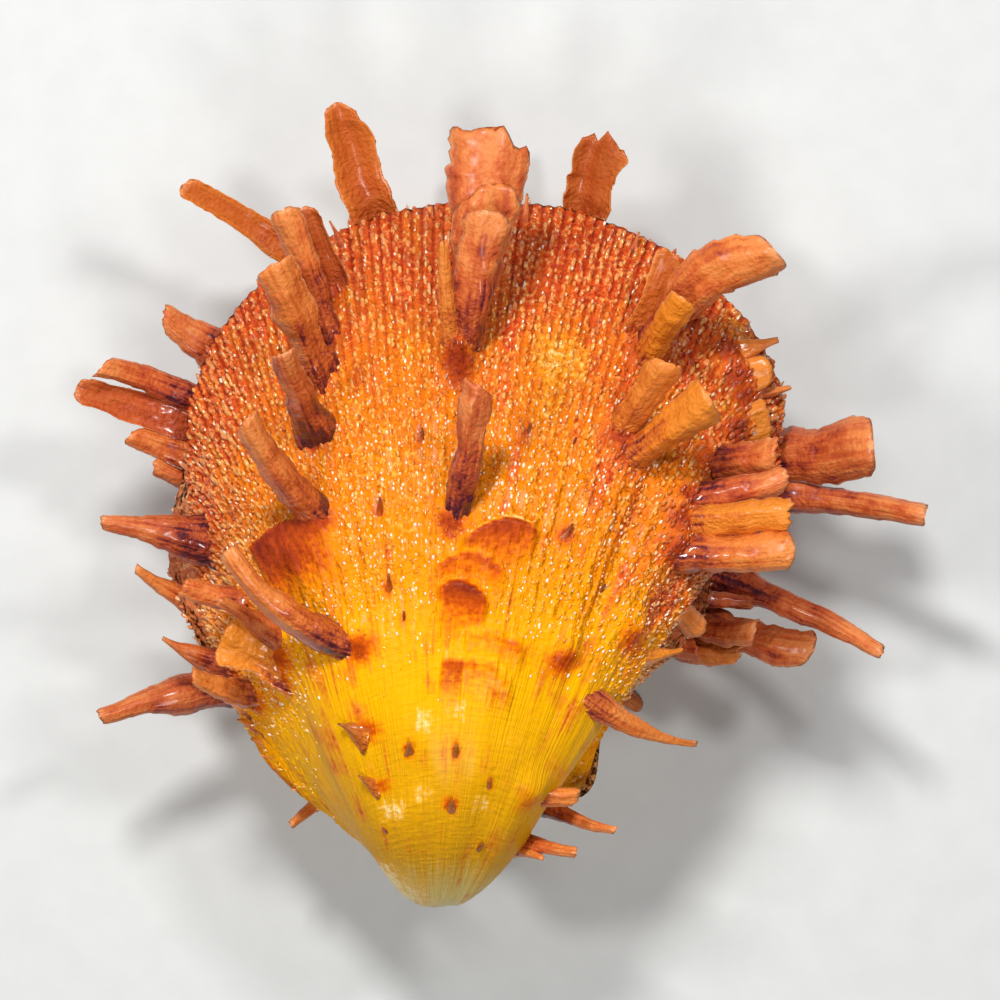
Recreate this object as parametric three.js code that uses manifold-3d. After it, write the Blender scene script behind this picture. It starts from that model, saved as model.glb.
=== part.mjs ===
// A thorny oyster: a closed pair of valves lying on the flatter one, with the beaked valve on top.
// Each valve is a horn that grew round its umbo. Every growth line is the margin, made smaller and
// turned about the hinge, so the margin, the coil and the place of the umbo give the whole dome.
// Units are millimetres, +Z up. While it is built, the middle of the hinge line is the origin, +Y runs
// to the far margin and the plane where the valves meet is z = 0. At the end the pair is set down with
// the bottom centre of its box at the origin.
import * as THREE from "three";
import { mergeVertices } from "three/addons/utils/BufferGeometryUtils.js";
import Module from "manifold-3d";

const wasm = await Module();
wasm.setup();

// Driving dimensions.
const SEAM = 0.4; // gap between the two valves where they meet
const FLOOR = -24; // height of the surface under the pair, below the plane where the valves meet
const WALL = 3.6; // how far the hollow is drawn in from the rim of a valve
const HINGE_PLATE = 8; // extra thickness of the rim behind the hinge line
const FIT = 0.35; // clearance round each hinge tooth and round the ligament
const SINK = 1.6; // how far the root of a spine is buried in its valve
const RIM_POINTS = 42;
const UP = new THREE.Vector3(0, 0, 1);

// The margin that both valves share, as seen from above: from the left end of the hinge line round
// the far edge to its right end.
const MARGIN = [
  [-15, 0], [-24, 7.2], [-29.4, 19], [-32, 33], [-33, 48], [-28.8, 61],
  [-18, 71.5], [-4, 76.8], [11, 77.5], [25, 73.6], [36.5, 64.5], [43, 53.5],
  [42.4, 44.5], [37, 36], [31, 27], [25.5, 17.8], [20, 9.6], [15.4, 0], [0, -0.4],
];

// Where the lower valve stands out past the upper one, how far, and over what length of the margin.
const OVERHANG = [
  { at: [-34, 31], out: 4, reach: 16 },
  { at: [31, 24], out: 3, reach: 11 },
];

const CENTRE = [3.5, 37]; // middle of the rim

// side is the way that a valve bulges, coil is how fast it turns as it narrows, and umbo is where it
// starts. GROWTH and HOLLOW are the growth lines that shape its outside and its inside, as shares of
// the full-grown rim.
const UPPER = { side: 1, coil: 0.9, umbo: [-2, -9], overhang: [] };
const LOWER = { side: -1, coil: 0.78, umbo: [0.5, -3.5], overhang: OVERHANG };
const GROWTH = [1, 0.94, 0.86, 0.77, 0.67, 0.57, 0.47, 0.38, 0.3, 0.23, 0.17, 0.12, 0.08, 0.05];
const HOLLOW = [1, 0.9, 0.8, 0.7, 0.6, 0.5, 0.42];

// Each spine: root x, y on the valve, then tip x, y, z, width at the root, width at the tip, and how
// far its middle bows to the right of the straight line as seen from above.
const UPPER_SPINES = [
  // the middle rib
  [0.8, 38, 4.7, 55.9, 35, 4.2, 3.7, 0.4],
  [2, 58, 5.6, 86.1, 22, 4.6, 10, 0],
  // the left-hand ribs, from the far edge to the hinge
  [-14.6, 67, -18.7, 77.5, 14, 4, 3.4, 0],
  [-15.6, 61, -21.1, 77.4, 19, 4.2, 3.6, 0.6],
  [-16.6, 55.5, -22.7, 70.7, 26, 4.8, 5.4, 0.8],
  [-16.6, 48.5, -20.8, 58.5, 32, 5, 3, 0],
  [-15.6, 38, -25.4, 50.5, 34, 4.2, 3.3, -0.8],
  [-14, 33.2, -23.7, 35.7, 33, 5.6, 4.8, 0],
  [-13, 20.4, -28.1, 33.6, 31, 4.4, 2.4, -2],
  [-20.4, 20.4, -29.5, 26.8, 22, 3.8, 1.6, 0.8],
  [-25.4, 26.8, -34.7, 28.5, 15, 4, 2.4, 0],
  [-23.2, 13.8, -20.9, 19.7, 20, 3.6, 1.6, 0],
  [-24, 14.4, -33.6, 17, 12, 3.8, 2, -0.8],
  [-27.6, 18, -37.2, 21.5, 6, 4, 0.8, -0.6],
  [-30, 34.2, -45.4, 36.6, 8, 6.4, 1.8, 0.6],
  [-9.6, 9.9, -13.7, 10.6, 25.5, 4, 1, 0],
  // the right-hand ribs, from the far edge to the hinge
  [25.6, 59.6, 30.1, 72.3, 17, 4, 3.4, -0.6],
  [26.6, 58.6, 42.3, 71.7, 24, 4.8, 5.2, -4],
  [22.2, 48.6, 29.5, 58.5, 28, 4.2, 3.8, 0],
  [23.4, 45.8, 34.7, 53.6, 30, 5.2, 5.4, 0.6],
  [35.6, 45, 45.2, 45.3, 19, 5.8, 5.4, 0],
  [32, 41, 44.4, 43.1, 20, 4.6, 3.4, 0.4],
  [30.4, 38.6, 46.3, 37.6, 22, 5, 3.8, 0],
  [30, 34.8, 45.7, 33.3, 22, 5.2, 4.6, 0.4],
  [24.4, 23, 30.8, 20, 12, 3.4, 0.9, 0.8],
  [19.4, 15.4, 32.9, 7.5, 5, 4, 1, 1],
  [11.6, 2.4, 18.1, 1, 7, 3, 2.2, 0],
  [13, 0.6, 22.5, -3.7, 4, 2.8, 1, 0.6],
  [8.8, -3.6, 17.5, -6.5, 8, 2.6, 1.3, 0.4],
  [6.2, -4, 13.1, -7.4, 9, 2.4, 0.8, 0],
];

const LOWER_SPINES = [
  // those that stand out past the upper valve, round from the left end of the hinge
  [-11, 4, -20.4, -3.4, -4, 2.6, 1.1, 0],
  [-24, 16, -45.8, 11, 2, 5, 2.4, 0.8],
  [-28, 25.5, -40.8, 30.4, 3, 3.6, 1.2, -1],
  [-29, 40, -39, 44.4, -1, 3.2, 2.4, 0],
  [-29, 43.4, -42.6, 48.2, 1, 3.6, 2.8, 0.6],
  [-29, 49, -48.8, 54.2, 4, 4.2, 3.4, 0],
  [-28.4, 51.4, -46, 57, 6, 3.8, 3, 0.8],
  [-25, 56.5, -38, 64.2, 1, 6.6, 3.4, 0],
  [-14.5, 69.4, -34.2, 80.8, 5, 3.8, 3.2, 0],
  [-6, 70, -13.4, 91.4, 4, 4.8, 5.2, -0.6],
  [16, 70, 21.2, 85.8, 3, 4.8, 5.8, 0],
  [35.6, 60, 43.8, 60.8, 1, 4, 1.4, 0],
  [37.6, 55.4, 44.4, 56.2, -1.5, 4, 2.6, 0],
  [38.6, 53.2, 45.8, 54.4, -1, 2.6, 0.8, 0],
  [36, 45.6, 56, 46.6, 5, 6.4, 6.6, 0],
  [35, 41.4, 63.2, 37.2, 6, 3.4, 2.8, 1],
  [32.4, 31.6, 57.2, 19.2, 3, 4.6, 3.4, -1],
  [31, 27.8, 49, 19.8, 1, 4.4, 4, 1],
  [31.6, 27.6, 41, 25.6, -4, 2.6, 1.8, 0],
  [28.6, 23.6, 39.6, 19.6, -2, 3.8, 2.6, 0.8],
  [26.6, 21.8, 34.6, 19.8, 0, 3.6, 3, 0],
  // those underneath that carry the pair, before the floor cuts their tips
  [-13, 18, -25, 13, -25.2, 4, 2.4, 1],
  [16, 17, 28, 11, -25.2, 4, 2.4, -1],
  [-19, 45, -35, 52, -25.2, 4.4, 2.6, 1.4],
  [24, 44, 42, 50, -25.2, 4.4, 2.6, -1.4],
  [-5, 60, -11, 77, -25.2, 4.4, 2.8, 1],
  [13, 60, 21, 77, -25.2, 4.4, 2.8, -1],
  // the others underneath
  [-17, 31, -33, 35, -21, 4, 1.8, 1.2],
  [21, 30, 37, 34, -20, 4, 1.8, -1.2],
  [-13, 55, -24, 70, -19, 4.2, 2.2, 1],
  [20.5, 55, 32, 69, -19, 4.2, 2.2, -1],
  [4, 52, 4.6, 66, -23, 4, 2.4, 0],
  [4, 67, 5, 86, -14, 4.4, 3.4, 0],
  [-7, 9, -14, 1, -17, 3, 1.2, 0],
  [9, 9, 17, 2, -16, 3, 1.2, 0],
];

// Hinge teeth: low knobs in a row at y, each with a socket in the other valve. The upper valve carries
// the two at inner and the lower valve the two at outer, either side of the ligament.
const TOOTH = { radius: 1.9, out: 2.2, y: 4.4, inner: 5, outer: 10 };
const LIGAMENT = { outerWidth: 3.2, innerWidth: 4.6, length: 5.2, height: 4.4 };

// A closed skin over a row of rings of points, each ring with as many points as the next.
function loft(rings) {
  const count = rings[0].length;
  const points = rings.flat();
  const faces = [];
  for (let r = 0; r + 1 < rings.length; r++)
    for (let i = 0; i < count; i++) {
      const a = r * count + i;
      const b = r * count + ((i + 1) % count);
      faces.push(a, b, b + count, a, b + count, a + count);
    }
  const cap = (start, turned) => {
    const middle = new THREE.Vector3();
    for (let i = 0; i < count; i++) middle.addScaledVector(points[start + i], 1 / count);
    const centre = points.push(middle) - 1;
    for (let i = 0; i < count; i++) {
      const a = start + i;
      const b = start + ((i + 1) % count);
      faces.push(...(turned ? [b, a, centre] : [a, b, centre]));
    }
  };
  cap(0, true);
  cap((rings.length - 1) * count, false);
  return new THREE.BufferGeometry().setFromPoints(points).setIndex(faces);
}

function solidOf(geometry) {
  const bare = geometry.clone();
  bare.deleteAttribute("normal");
  bare.deleteAttribute("uv");
  const merged = mergeVertices(bare, 1e-4);
  const mesh = new wasm.Mesh({
    numProp: 3,
    vertProperties: new Float32Array(merged.attributes.position.array),
    triVerts: new Uint32Array(merged.index.array),
  });
  const solid = new wasm.Manifold(mesh);
  if (solid.volume() > 0) return solid;
  for (let i = 0; i < mesh.triVerts.length; i += 3)
    [mesh.triVerts[i], mesh.triVerts[i + 1]] = [mesh.triVerts[i + 1], mesh.triVerts[i]];
  return new wasm.Manifold(mesh);
}

function geometryOf(solid) {
  const mesh = solid.getMesh();
  return new THREE.BufferGeometry()
    .setAttribute("position", new THREE.BufferAttribute(mesh.vertProperties, 3))
    .setIndex(new THREE.BufferAttribute(mesh.triVerts, 1));
}

// Points spaced evenly along the rim of a valve, which is the margin with its overhangs.
function rimPoints(valve, count) {
  const centre = new THREE.Vector3(...CENTRE, 0);
  const corners = MARGIN.map(([x, y]) => new THREE.Vector3(x, y, 0));
  const curve = new THREE.CatmullRomCurve3(corners, true, "catmullrom", 0.5);
  const points = curve.getSpacedPoints(count).slice(0, count);
  for (const point of points)
    for (const { at, out, reach } of valve.overhang) {
      const near = 1 - Math.min(1, Math.hypot(point.x - at[0], point.y - at[1]) / reach);
      const outward = point.clone().sub(centre).normalize();
      point.addScaledVector(outward, out * THREE.MathUtils.smoothstep(near, 0, 1));
    }
  return points;
}

// The point of a valve on the growth line of that share of its full size, on the rib that ends at rim.
function grown(valve, share, rim) {
  const turn = valve.coil * Math.log(1 / share);
  const reach = share * (rim.y - valve.umbo[1]);
  return new THREE.Vector3(
    valve.umbo[0] + share * (rim.x - valve.umbo[0]),
    valve.umbo[1] + reach * Math.cos(turn),
    valve.side * (reach * Math.sin(turn) + SEAM / 2),
  );
}

function dome(valve) {
  const rim = rimPoints(valve, RIM_POINTS);
  return solidOf(loft(GROWTH.map((share) => rim.map((point) => grown(valve, share, point)))));
}

// The hollow inside a valve is a horn too, drawn in from the rim by the wall and, behind the hinge
// line, by the hinge plate. It stops short of the umbo, which is solid.
function hollow(valve) {
  const centre = new THREE.Vector3(...CENTRE, 0);
  const rim = rimPoints(valve, RIM_POINTS);
  const ring = (share, extra) =>
    rim.map((point) => {
      const nearHinge = THREE.MathUtils.smoothstep(16 - point.y, 0, 16);
      const inset = WALL / share + HINGE_PLATE * nearHinge;
      const drawnIn = inset / point.distanceTo(centre) + extra;
      return grown(valve, share, point.clone().lerp(centre, drawnIn));
    });
  const mouth = ring(1, 0).map((point) => point.setZ(-valve.side));
  return solidOf(loft([mouth, ...HOLLOW.map((share) => ring(share, 0)), ring(0.36, 0.35)]));
}

// The point of a valve under x, y and the way that its surface faces there.
function surfaceAt(valve, x, y) {
  const rim = rimPoints(valve, 240).filter((point) => point.y > 0.5);
  let best = { gap: Infinity };
  for (let share = 0.14; share < 0.995; share += 0.005)
    for (const point of rim) {
      const at = grown(valve, share, point);
      const gap = Math.hypot(at.x - x, at.y - y);
      if (gap < best.gap) best = { gap, at, share, point };
    }
  const along = grown(valve, best.share + 0.01, best.point).sub(best.at);
  const next = rim[Math.min(rim.indexOf(best.point) + 1, rim.length - 1)];
  const last = rim[Math.max(rim.indexOf(best.point) - 1, 0)];
  const across = grown(valve, best.share, next).sub(grown(valve, best.share, last));
  const normal = along.cross(across).normalize();
  if (normal.z * valve.side < 0) normal.negate();
  return { at: best.at, normal };
}

// A spine is a flattened, tapering blade that leaves the valve steeply and then leans outwards.
function spine(valve, [x, y, tipX, tipY, tipZ, rootWidth, tipWidth, bow]) {
  const { at, normal } = surfaceAt(valve, x, y);
  const root = at.clone().addScaledVector(normal, -SINK);
  const tip = new THREE.Vector3(tipX, tipY, tipZ);
  const chord = tip.clone().sub(root);
  const side = new THREE.Vector3().crossVectors(chord, UP).normalize();
  const bend = root.clone().lerp(tip, 0.45);
  bend.addScaledVector(normal, 0.12 * chord.length()).addScaledVector(side, 2 * bow);
  const path = new THREE.QuadraticBezierCurve3(root, bend, tip);
  const rings = [0, 0.25, 0.6, 1].map((t) => {
    const middle = path.getPoint(t);
    const flat = new THREE.Vector3().crossVectors(path.getTangent(t), side).normalize();
    const flare = 1 + 0.4 * (1 - t) ** 6;
    const width = flare * THREE.MathUtils.lerp(rootWidth, tipWidth, t);
    const thick = Math.max(0.9, (0.5 - 0.2 * t) * Math.min(width, 5));
    return [0, 1, 2, 3, 4, 5].map((corner) => {
      const angle = (corner * Math.PI) / 3;
      return middle
        .clone()
        .addScaledVector(side, (width / 2) * Math.cos(angle))
        .addScaledVector(flat, (thick / 2) * Math.sin(angle));
    });
  });
  return solidOf(loft(rings));
}

// A hinge tooth is a low knob on the hinge plate. Grown by the fit, the same knob cuts its socket.
function tooth(x, side, grow) {
  const knob = new THREE.SphereGeometry(1, 10, 6);
  const radius = TOOTH.radius + grow;
  knob.rotateX(Math.PI / 2).scale(radius, radius, TOOTH.out + grow);
  return solidOf(knob.translate(x, TOOTH.y, side * 0.1));
}

// The ligament is a wedge that widens into the shell. Grown by the fit, it cuts the pit it sits in.
function ligament(grow) {
  const { outerWidth, innerWidth, length, height } = LIGAMENT;
  const outline = new THREE.Shape([
    new THREE.Vector2(-outerWidth / 2 - grow, -length / 2 - grow),
    new THREE.Vector2(outerWidth / 2 + grow, -length / 2 - grow),
    new THREE.Vector2(innerWidth / 2 + grow, length / 2 + grow),
    new THREE.Vector2(-innerWidth / 2 - grow, length / 2 + grow),
  ]);
  const depth = height + 2 * grow;
  const wedge = new THREE.ExtrudeGeometry(outline, { depth, bevelEnabled: false });
  return solidOf(wedge.translate(0, length / 2 - 1.4, -depth / 2));
}

// Everything below the surface that the pair stands on. It leaves the lowest tips worn flat.
const ground = solidOf(new THREE.BoxGeometry(200, 200, 20).translate(0, 40, FLOOR - 10));

function valveSolid(valve, spines, teeth, sockets) {
  let solid = dome(valve).subtract(hollow(valve));
  for (const x of sockets) solid = solid.subtract(tooth(x, -valve.side, FIT));
  for (const x of teeth) solid = solid.add(tooth(x, valve.side, 0));
  solid = solid.subtract(ligament(FIT));
  for (const row of spines) solid = solid.add(spine(valve, row));
  return solid.subtract(ground);
}

const shellColour = { upper: 0xe88a1c, lower: 0xc8612c, ligament: 0x2c1a12 };

function node(name, solid, color, roughness) {
  const material = new THREE.MeshStandardMaterial({ color, roughness, metalness: 0 });
  const mesh = new THREE.Mesh(geometryOf(solid), material);
  mesh.name = name;
  return mesh;
}

const inner = [-TOOTH.inner, TOOTH.inner];
const outer = [-TOOTH.outer, TOOTH.outer];
const upper = valveSolid(UPPER, UPPER_SPINES, inner, outer);
const lower = valveSolid(LOWER, LOWER_SPINES, outer, inner);

const shell = new THREE.Group();
shell.add(
  node("upper_valve", upper, shellColour.upper, 0.3),
  node("lower_valve", lower, shellColour.lower, 0.35),
  node("hinge_ligament", ligament(0), shellColour.ligament, 0.6),
);

const box = new THREE.Box3().setFromObject(shell);
const middle = box.getCenter(new THREE.Vector3());
shell.position.set(-middle.x, -middle.y, -box.min.z);

export default shell;
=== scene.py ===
# A thorny oyster lying on its flatter valve, with the beaked valve on top.
# The shell is laid out in millimetres from the middle of its hinge line: +X right, +Y to the far
# margin, z = 0 where the valves meet. HINGE moves it to the frame, in metres.
import math

import bmesh
import bpy
import numpy as np
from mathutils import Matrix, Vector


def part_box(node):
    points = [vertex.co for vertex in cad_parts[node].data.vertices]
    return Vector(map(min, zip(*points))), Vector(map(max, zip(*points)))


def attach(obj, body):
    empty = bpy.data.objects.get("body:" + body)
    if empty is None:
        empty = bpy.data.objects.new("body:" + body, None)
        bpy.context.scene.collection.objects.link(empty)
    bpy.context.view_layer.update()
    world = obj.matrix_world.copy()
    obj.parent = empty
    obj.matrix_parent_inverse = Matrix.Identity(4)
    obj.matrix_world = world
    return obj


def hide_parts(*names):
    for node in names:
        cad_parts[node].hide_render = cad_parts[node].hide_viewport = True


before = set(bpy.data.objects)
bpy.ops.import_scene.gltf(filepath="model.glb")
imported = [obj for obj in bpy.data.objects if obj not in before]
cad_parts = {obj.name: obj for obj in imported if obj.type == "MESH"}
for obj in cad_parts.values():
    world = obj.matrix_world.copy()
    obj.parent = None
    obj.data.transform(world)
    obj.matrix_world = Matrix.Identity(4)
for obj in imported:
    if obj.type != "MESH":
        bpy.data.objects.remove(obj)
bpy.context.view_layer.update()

# ---------------------------------------------------------------------------------------------
# The studio: a pale painted board under the shell, a soft box on each side of it and a camera that
# looks straight down. The boxes are small, so the wet shell shows them as glints.
MM = 0.001
LIGAMENT_FORWARD = 1.2  # how far the middle of the ligament lies in front of the hinge line

ligament_box = np.array(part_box("hinge_ligament"))
HINGE = ligament_box.mean(axis=0) - np.array([0, LIGAMENT_FORWARD * MM, 0])


def linear(colour, alpha=1.0):
    """An sRGB hex colour as the linear values that a shader takes."""
    values = [int(colour[i : i + 2], 16) / 255 for i in (1, 3, 5)]
    return (*[v / 12.92 if v <= 0.04045 else ((v + 0.055) / 1.055) ** 2.4 for v in values], alpha)


def add_node(tree, kind, inputs=None, stops=None, **settings):
    """Adds a shader node with its settings and a ramp's colour stops, and sets or links its inputs.

    An input given as a node is linked to the first output that the node has in use.
    """
    node = tree.nodes.new("ShaderNode" + kind)
    for name, value in settings.items():
        setattr(node, name, value)
    for name, value in (inputs or {}).items():
        if isinstance(value, bpy.types.Node):
            value = next(output for output in value.outputs if output.enabled)
        if isinstance(value, bpy.types.NodeSocket):
            tree.links.new(value, node.inputs[name])
        else:
            node.inputs[name].default_value = value
    for i, (place, colour) in enumerate(stops or []):
        elements = node.color_ramp.elements
        element = elements[i] if i < 2 else elements.new(place)
        element.position = place
        element.color = linear(colour)
    return node


def new_material(name):
    """A material with its node tree and its surface shader."""
    material = bpy.data.materials.new(name)
    material.use_nodes = True
    return material, material.node_tree, material.node_tree.nodes["Principled BSDF"]


def add_object(name, data):
    """Stands a mesh, a light or a camera in the scene."""
    thing = bpy.data.objects.new(name, data)
    bpy.context.collection.objects.link(thing)
    return thing


BOARD_HALF_WIDTH = 2.5  # metres

board, tree, paint = new_material("matt painted board")
paint.inputs["Roughness"].default_value = 0.85
# A roller leaves a mottle some 6 mm across.
place = add_node(tree, "TexCoord").outputs["Object"]
mottle = add_node(tree, "TexNoise", {"Vector": place, "Scale": 180.0, "Detail": 3.0})
shade = add_node(tree, "ValToRGB", {"Fac": mottle}, [(0.35, "#cbccca"), (0.65, "#cecfcd")])
tree.links.new(shade.outputs["Color"], paint.inputs["Base Color"])

bm = bmesh.new()
bmesh.ops.create_grid(bm, x_segments=2, y_segments=2, size=BOARD_HALF_WIDTH)
floor_mesh = bpy.data.meshes.new("floor")
bm.to_mesh(floor_mesh)
bm.free()
floor_mesh.materials.append(board)
floor = add_object("floor", floor_mesh)

CAMERA_HEIGHT = 1.2  # metres above the plane where the valves meet
VIEW_WIDTH = 0.1314  # metres of that plane across the picture
camera_data = bpy.data.cameras.new("camera")
camera_data.lens = camera_data.sensor_width * CAMERA_HEIGHT / VIEW_WIDTH
camera = add_object("camera", camera_data)
camera.location = (0, 0, HINGE[2] + CAMERA_HEIGHT)
bpy.context.scene.camera = camera
bpy.context.scene.view_settings.view_transform = "Standard"

world = bpy.data.worlds.new("soft room")
world.use_nodes = True
world.node_tree.nodes["Background"].inputs["Color"].default_value = linear("#dfe6ee")
world.node_tree.nodes["Background"].inputs["Strength"].default_value = 0.12
bpy.context.scene.world = world

LAMP_REACH = 0.62  # metres from the floor under the shell to each soft box

# Each soft box: its name, direction round from +X and up in degrees, width in metres and power.
for name, around, up, width, power in (
    ("key soft box", 108, 58, 0.1, 2.8),
    ("left soft box", 176, 58, 0.08, 1.1),
    ("right soft box", 40, 60, 0.08, 1.1),
    ("low soft box", 276, 58, 0.14, 0.95),
):
    light = bpy.data.lights.new(name, "AREA")
    light.shape = "DISK"
    light.size = width
    light.energy = power
    lamp = add_object(name, light)
    turn, rise = math.radians(around), math.radians(up)
    lamp.location = (
        LAMP_REACH * math.cos(rise) * math.cos(turn),
        LAMP_REACH * math.cos(rise) * math.sin(turn),
        LAMP_REACH * math.sin(rise),
    )
    lamp.rotation_euler = (math.pi / 2 - rise, 0, turn + math.pi / 2)

# ---------------------------------------------------------------------------------------------
# The upper valve, which has the beak. It is calcite, grown as one piece. Each growth line is the
# margin made smaller and turned about the umbo, and fine riblets run over it, more of them as it
# widens. It is smooth and yellow at the beak, and beaded and red towards the margin.
SEAM = 0.4  # gap between the two rims
WALL = 3.6  # thickness at the rim
HINGE_PLATE = 8  # how much further in the hollow stops behind the hinge line
CENTRE = np.array([3.5, 37])
MARGIN = [
    (-15, 0), (-24, 7.2), (-29.4, 19), (-32, 33), (-33, 48), (-28.8, 61),
    (-18, 71.5), (-4, 76.8), (11, 77.5), (25, 73.6), (36.5, 64.5), (43, 53.5),
    (42.4, 44.5), (37, 36), (31, 27), (25.5, 17.8), (20, 9.6), (15.4, 0), (0, -0.4),
]
HINGE_POINTS = 2  # the last stretches of the margin are the straight hinge line
CURVE_STEPS = 40  # from one point of the margin to the next

UPPER = {"side": 1, "coil": 0.9, "umbo": (-2, -9), "overhang": []}

RIBLETS = 152
STEPS_PER_RIBLET = 4
HINGE_COLUMNS = 24
# Rows of the skin between growth lines, given as shares of the full-grown margin.
GROWTH_ROWS = [(0.04, 0.25, 14), (0.25, 0.5, 34), (0.5, 1.0, 97)]
HOLLOW_SHARES = [1, 0.9, 0.8, 0.66, 0.52, 0.42]
FAR_POINT = 7  # the point of the margin that lies furthest from the hinge

# How far each kind of relief stands up from the dome.
RIBLET_RISE = 0.42
PAUSE_RISE = 0.28
DENT_RISE = 0.3
LUMP_RISE = 0.14
GRIT_RISE = 0.08
PAUSES = 27  # growth pauses from the umbo to the margin


def smooth(low, high, value):
    """A soft step from 0 at low to 1 at high."""
    t = np.clip((value - low) / (high - low), 0, 1)
    return t * t * (3 - 2 * t)


def lattice_noise(seed, x, y, size_x, size_y):
    """Smooth noise from -1 to 1 that repeats every size_x and size_y."""
    lattice = np.random.default_rng(seed).uniform(-1, 1, (size_x, size_y))
    i, j = np.floor(x).astype(int), np.floor(y).astype(int)
    fx, fy = smooth(0, 1, x - i), smooth(0, 1, y - j)
    near = lattice[i % size_x, j % size_y] * (1 - fx) + lattice[(i + 1) % size_x, j % size_y] * fx
    far = lattice[i % size_x, (j + 1) % size_y] * (1 - fx)
    far = far + lattice[(i + 1) % size_x, (j + 1) % size_y] * fx
    return near * (1 - fy) + far * fy


def margin_line():
    """The margin as a closed curve through its points, and the length along it in millimetres."""
    corners = np.array(MARGIN, float)
    t = np.linspace(0, 1, CURVE_STEPS, endpoint=False)[:, None]
    stretches = []
    for i in range(len(corners)):
        a, b, c, d = (corners[(i + k) % len(corners)] for k in (-1, 0, 1, 2))
        curve = 2 * b + (c - a) * t + (2 * a - 5 * b + 4 * c - d) * t**2
        stretches.append(0.5 * (curve + (3 * b - a - 3 * c + d) * t**3))
    line = np.vstack([*stretches, corners[:1]])
    length = np.concatenate([[0], np.cumsum(np.linalg.norm(np.diff(line, axis=0), axis=1))])
    return line, length


LINE, LENGTH = margin_line()
HINGE_START = LENGTH[-1 - CURVE_STEPS * HINGE_POINTS]  # millimetres round from the left end of the hinge


def rim(valve, around):
    """Points of a valve's rim at distances round the margin, with its overhangs."""
    point = np.stack([np.interp(around, LENGTH, LINE[:, 0]), np.interp(around, LENGTH, LINE[:, 1])], -1)
    outward = point - CENTRE
    outward = outward / np.linalg.norm(outward, axis=-1, keepdims=True)
    for (x, y), out, reach in valve["overhang"]:
        near = 1 - np.clip(np.hypot(point[..., 0] - x, point[..., 1] - y) / reach, 0, 1)
        point = point + (out * smooth(0, 1, near))[..., None] * outward
    return point


def grown(valve, share, point):
    """The place on a growth line of that share, on the rib that ends at a point of the rim."""
    turn = valve["coil"] * np.log(1 / share)
    reach = share * (point[..., 1] - valve["umbo"][1])
    x = valve["umbo"][0] + share * (point[..., 0] - valve["umbo"][0])
    y = valve["umbo"][1] + reach * np.cos(turn)
    z = valve["side"] * (reach * np.sin(turn) + SEAM / 2)
    return np.stack([x, y, z], -1)


def share_length(valve):
    """Millimetres of spiral from the umbo to the far margin, which is a whole share of growth."""
    return np.hypot(1, valve["coil"]) * (MARGIN[FAR_POINT][1] - valve["umbo"][1])


def facing(points, side):
    """The outward directions of a skin, from its neighbours each way."""
    normal = np.cross(np.gradient(points, axis=1), np.gradient(points, axis=0))
    normal[:, [0, -1]] = (normal[:, [0]] + normal[:, [-1]]) / 2
    normal = normal / np.maximum(np.linalg.norm(normal, axis=-1, keepdims=True), 1e-12)
    middle = normal[len(points) // 2, points.shape[1] // 3]
    return normal if middle[2] * side > 0 else -normal


def find_on(valve, places):
    """For places as seen from above: the distance round the margin and the growth share there."""
    around = np.linspace(0, HINGE_START, 700)
    share = np.linspace(0.08, 0.995, 420)[:, None]
    skin = grown(valve, share, rim(valve, around)[None])
    found = []
    for x, y in places:
        gap = np.hypot(skin[..., 0] - x, skin[..., 1] - y)
        row, column = np.unravel_index(np.argmin(gap), gap.shape)
        found.append((around[column], share[row, 0]))
    return np.array(found)


def place_on(valve, around, share):
    """The point and outward direction of a valve's bare dome."""
    step = 0.002
    here = grown(valve, share, rim(valve, around))
    along = grown(valve, share + step, rim(valve, around)) - here
    across = grown(valve, share, rim(valve, around + 0.3)) - here
    normal = np.cross(along, across)
    normal = normal / np.linalg.norm(normal, axis=-1, keepdims=True)
    return here, normal * np.where(normal[..., 2:] * valve["side"] < 0, -1, 1)


def sheet_mesh(name, columns, rows):
    """A flat sheet of cells, one unit each way, with a UV map to match."""
    bm = bmesh.new()
    bm.loops.layers.uv.new("UVMap")
    bmesh.ops.create_grid(bm, x_segments=columns, y_segments=rows, size=0.5, calc_uvs=True)
    mesh = bpy.data.meshes.new(name)
    bm.to_mesh(mesh)
    bm.free()
    return mesh


def vertex_places(mesh):
    values = np.empty(len(mesh.vertices) * 3)
    mesh.vertices.foreach_get("co", values)
    return values.reshape(-1, 3)


def shape_mesh(mesh, points, attributes):
    """Moves the vertices to points given in millimetres from the hinge, and stores the attributes."""
    mesh.vertices.foreach_set("co", (points * MM + HINGE).ravel())
    for name, values in attributes.items():
        layer = mesh.attributes.new(name, "FLOAT", "POINT")
        layer.data.foreach_set("value", np.broadcast_to(values, len(mesh.vertices)).astype(float))


def scale_uvs(mesh, change):
    layer = mesh.uv_layers["UVMap"].data
    values = np.empty(len(layer) * 2)
    layer.foreach_get("uv", values)
    layer.foreach_set("uv", change(values.reshape(-1, 2)).ravel())


def closed_object(name, mesh, materials):
    """Joins the seams and poles of a mesh, turns its faces outwards and makes it an object."""
    bm = bmesh.new()
    bm.from_mesh(mesh)
    bmesh.ops.remove_doubles(bm, verts=bm.verts, dist=0.0005 * MM)
    bmesh.ops.recalc_face_normals(bm, faces=bm.faces)
    bm.to_mesh(mesh)
    bm.free()
    for material in materials:
        mesh.materials.append(material)
    mesh.shade_smooth()
    return add_object(name, mesh)


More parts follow.
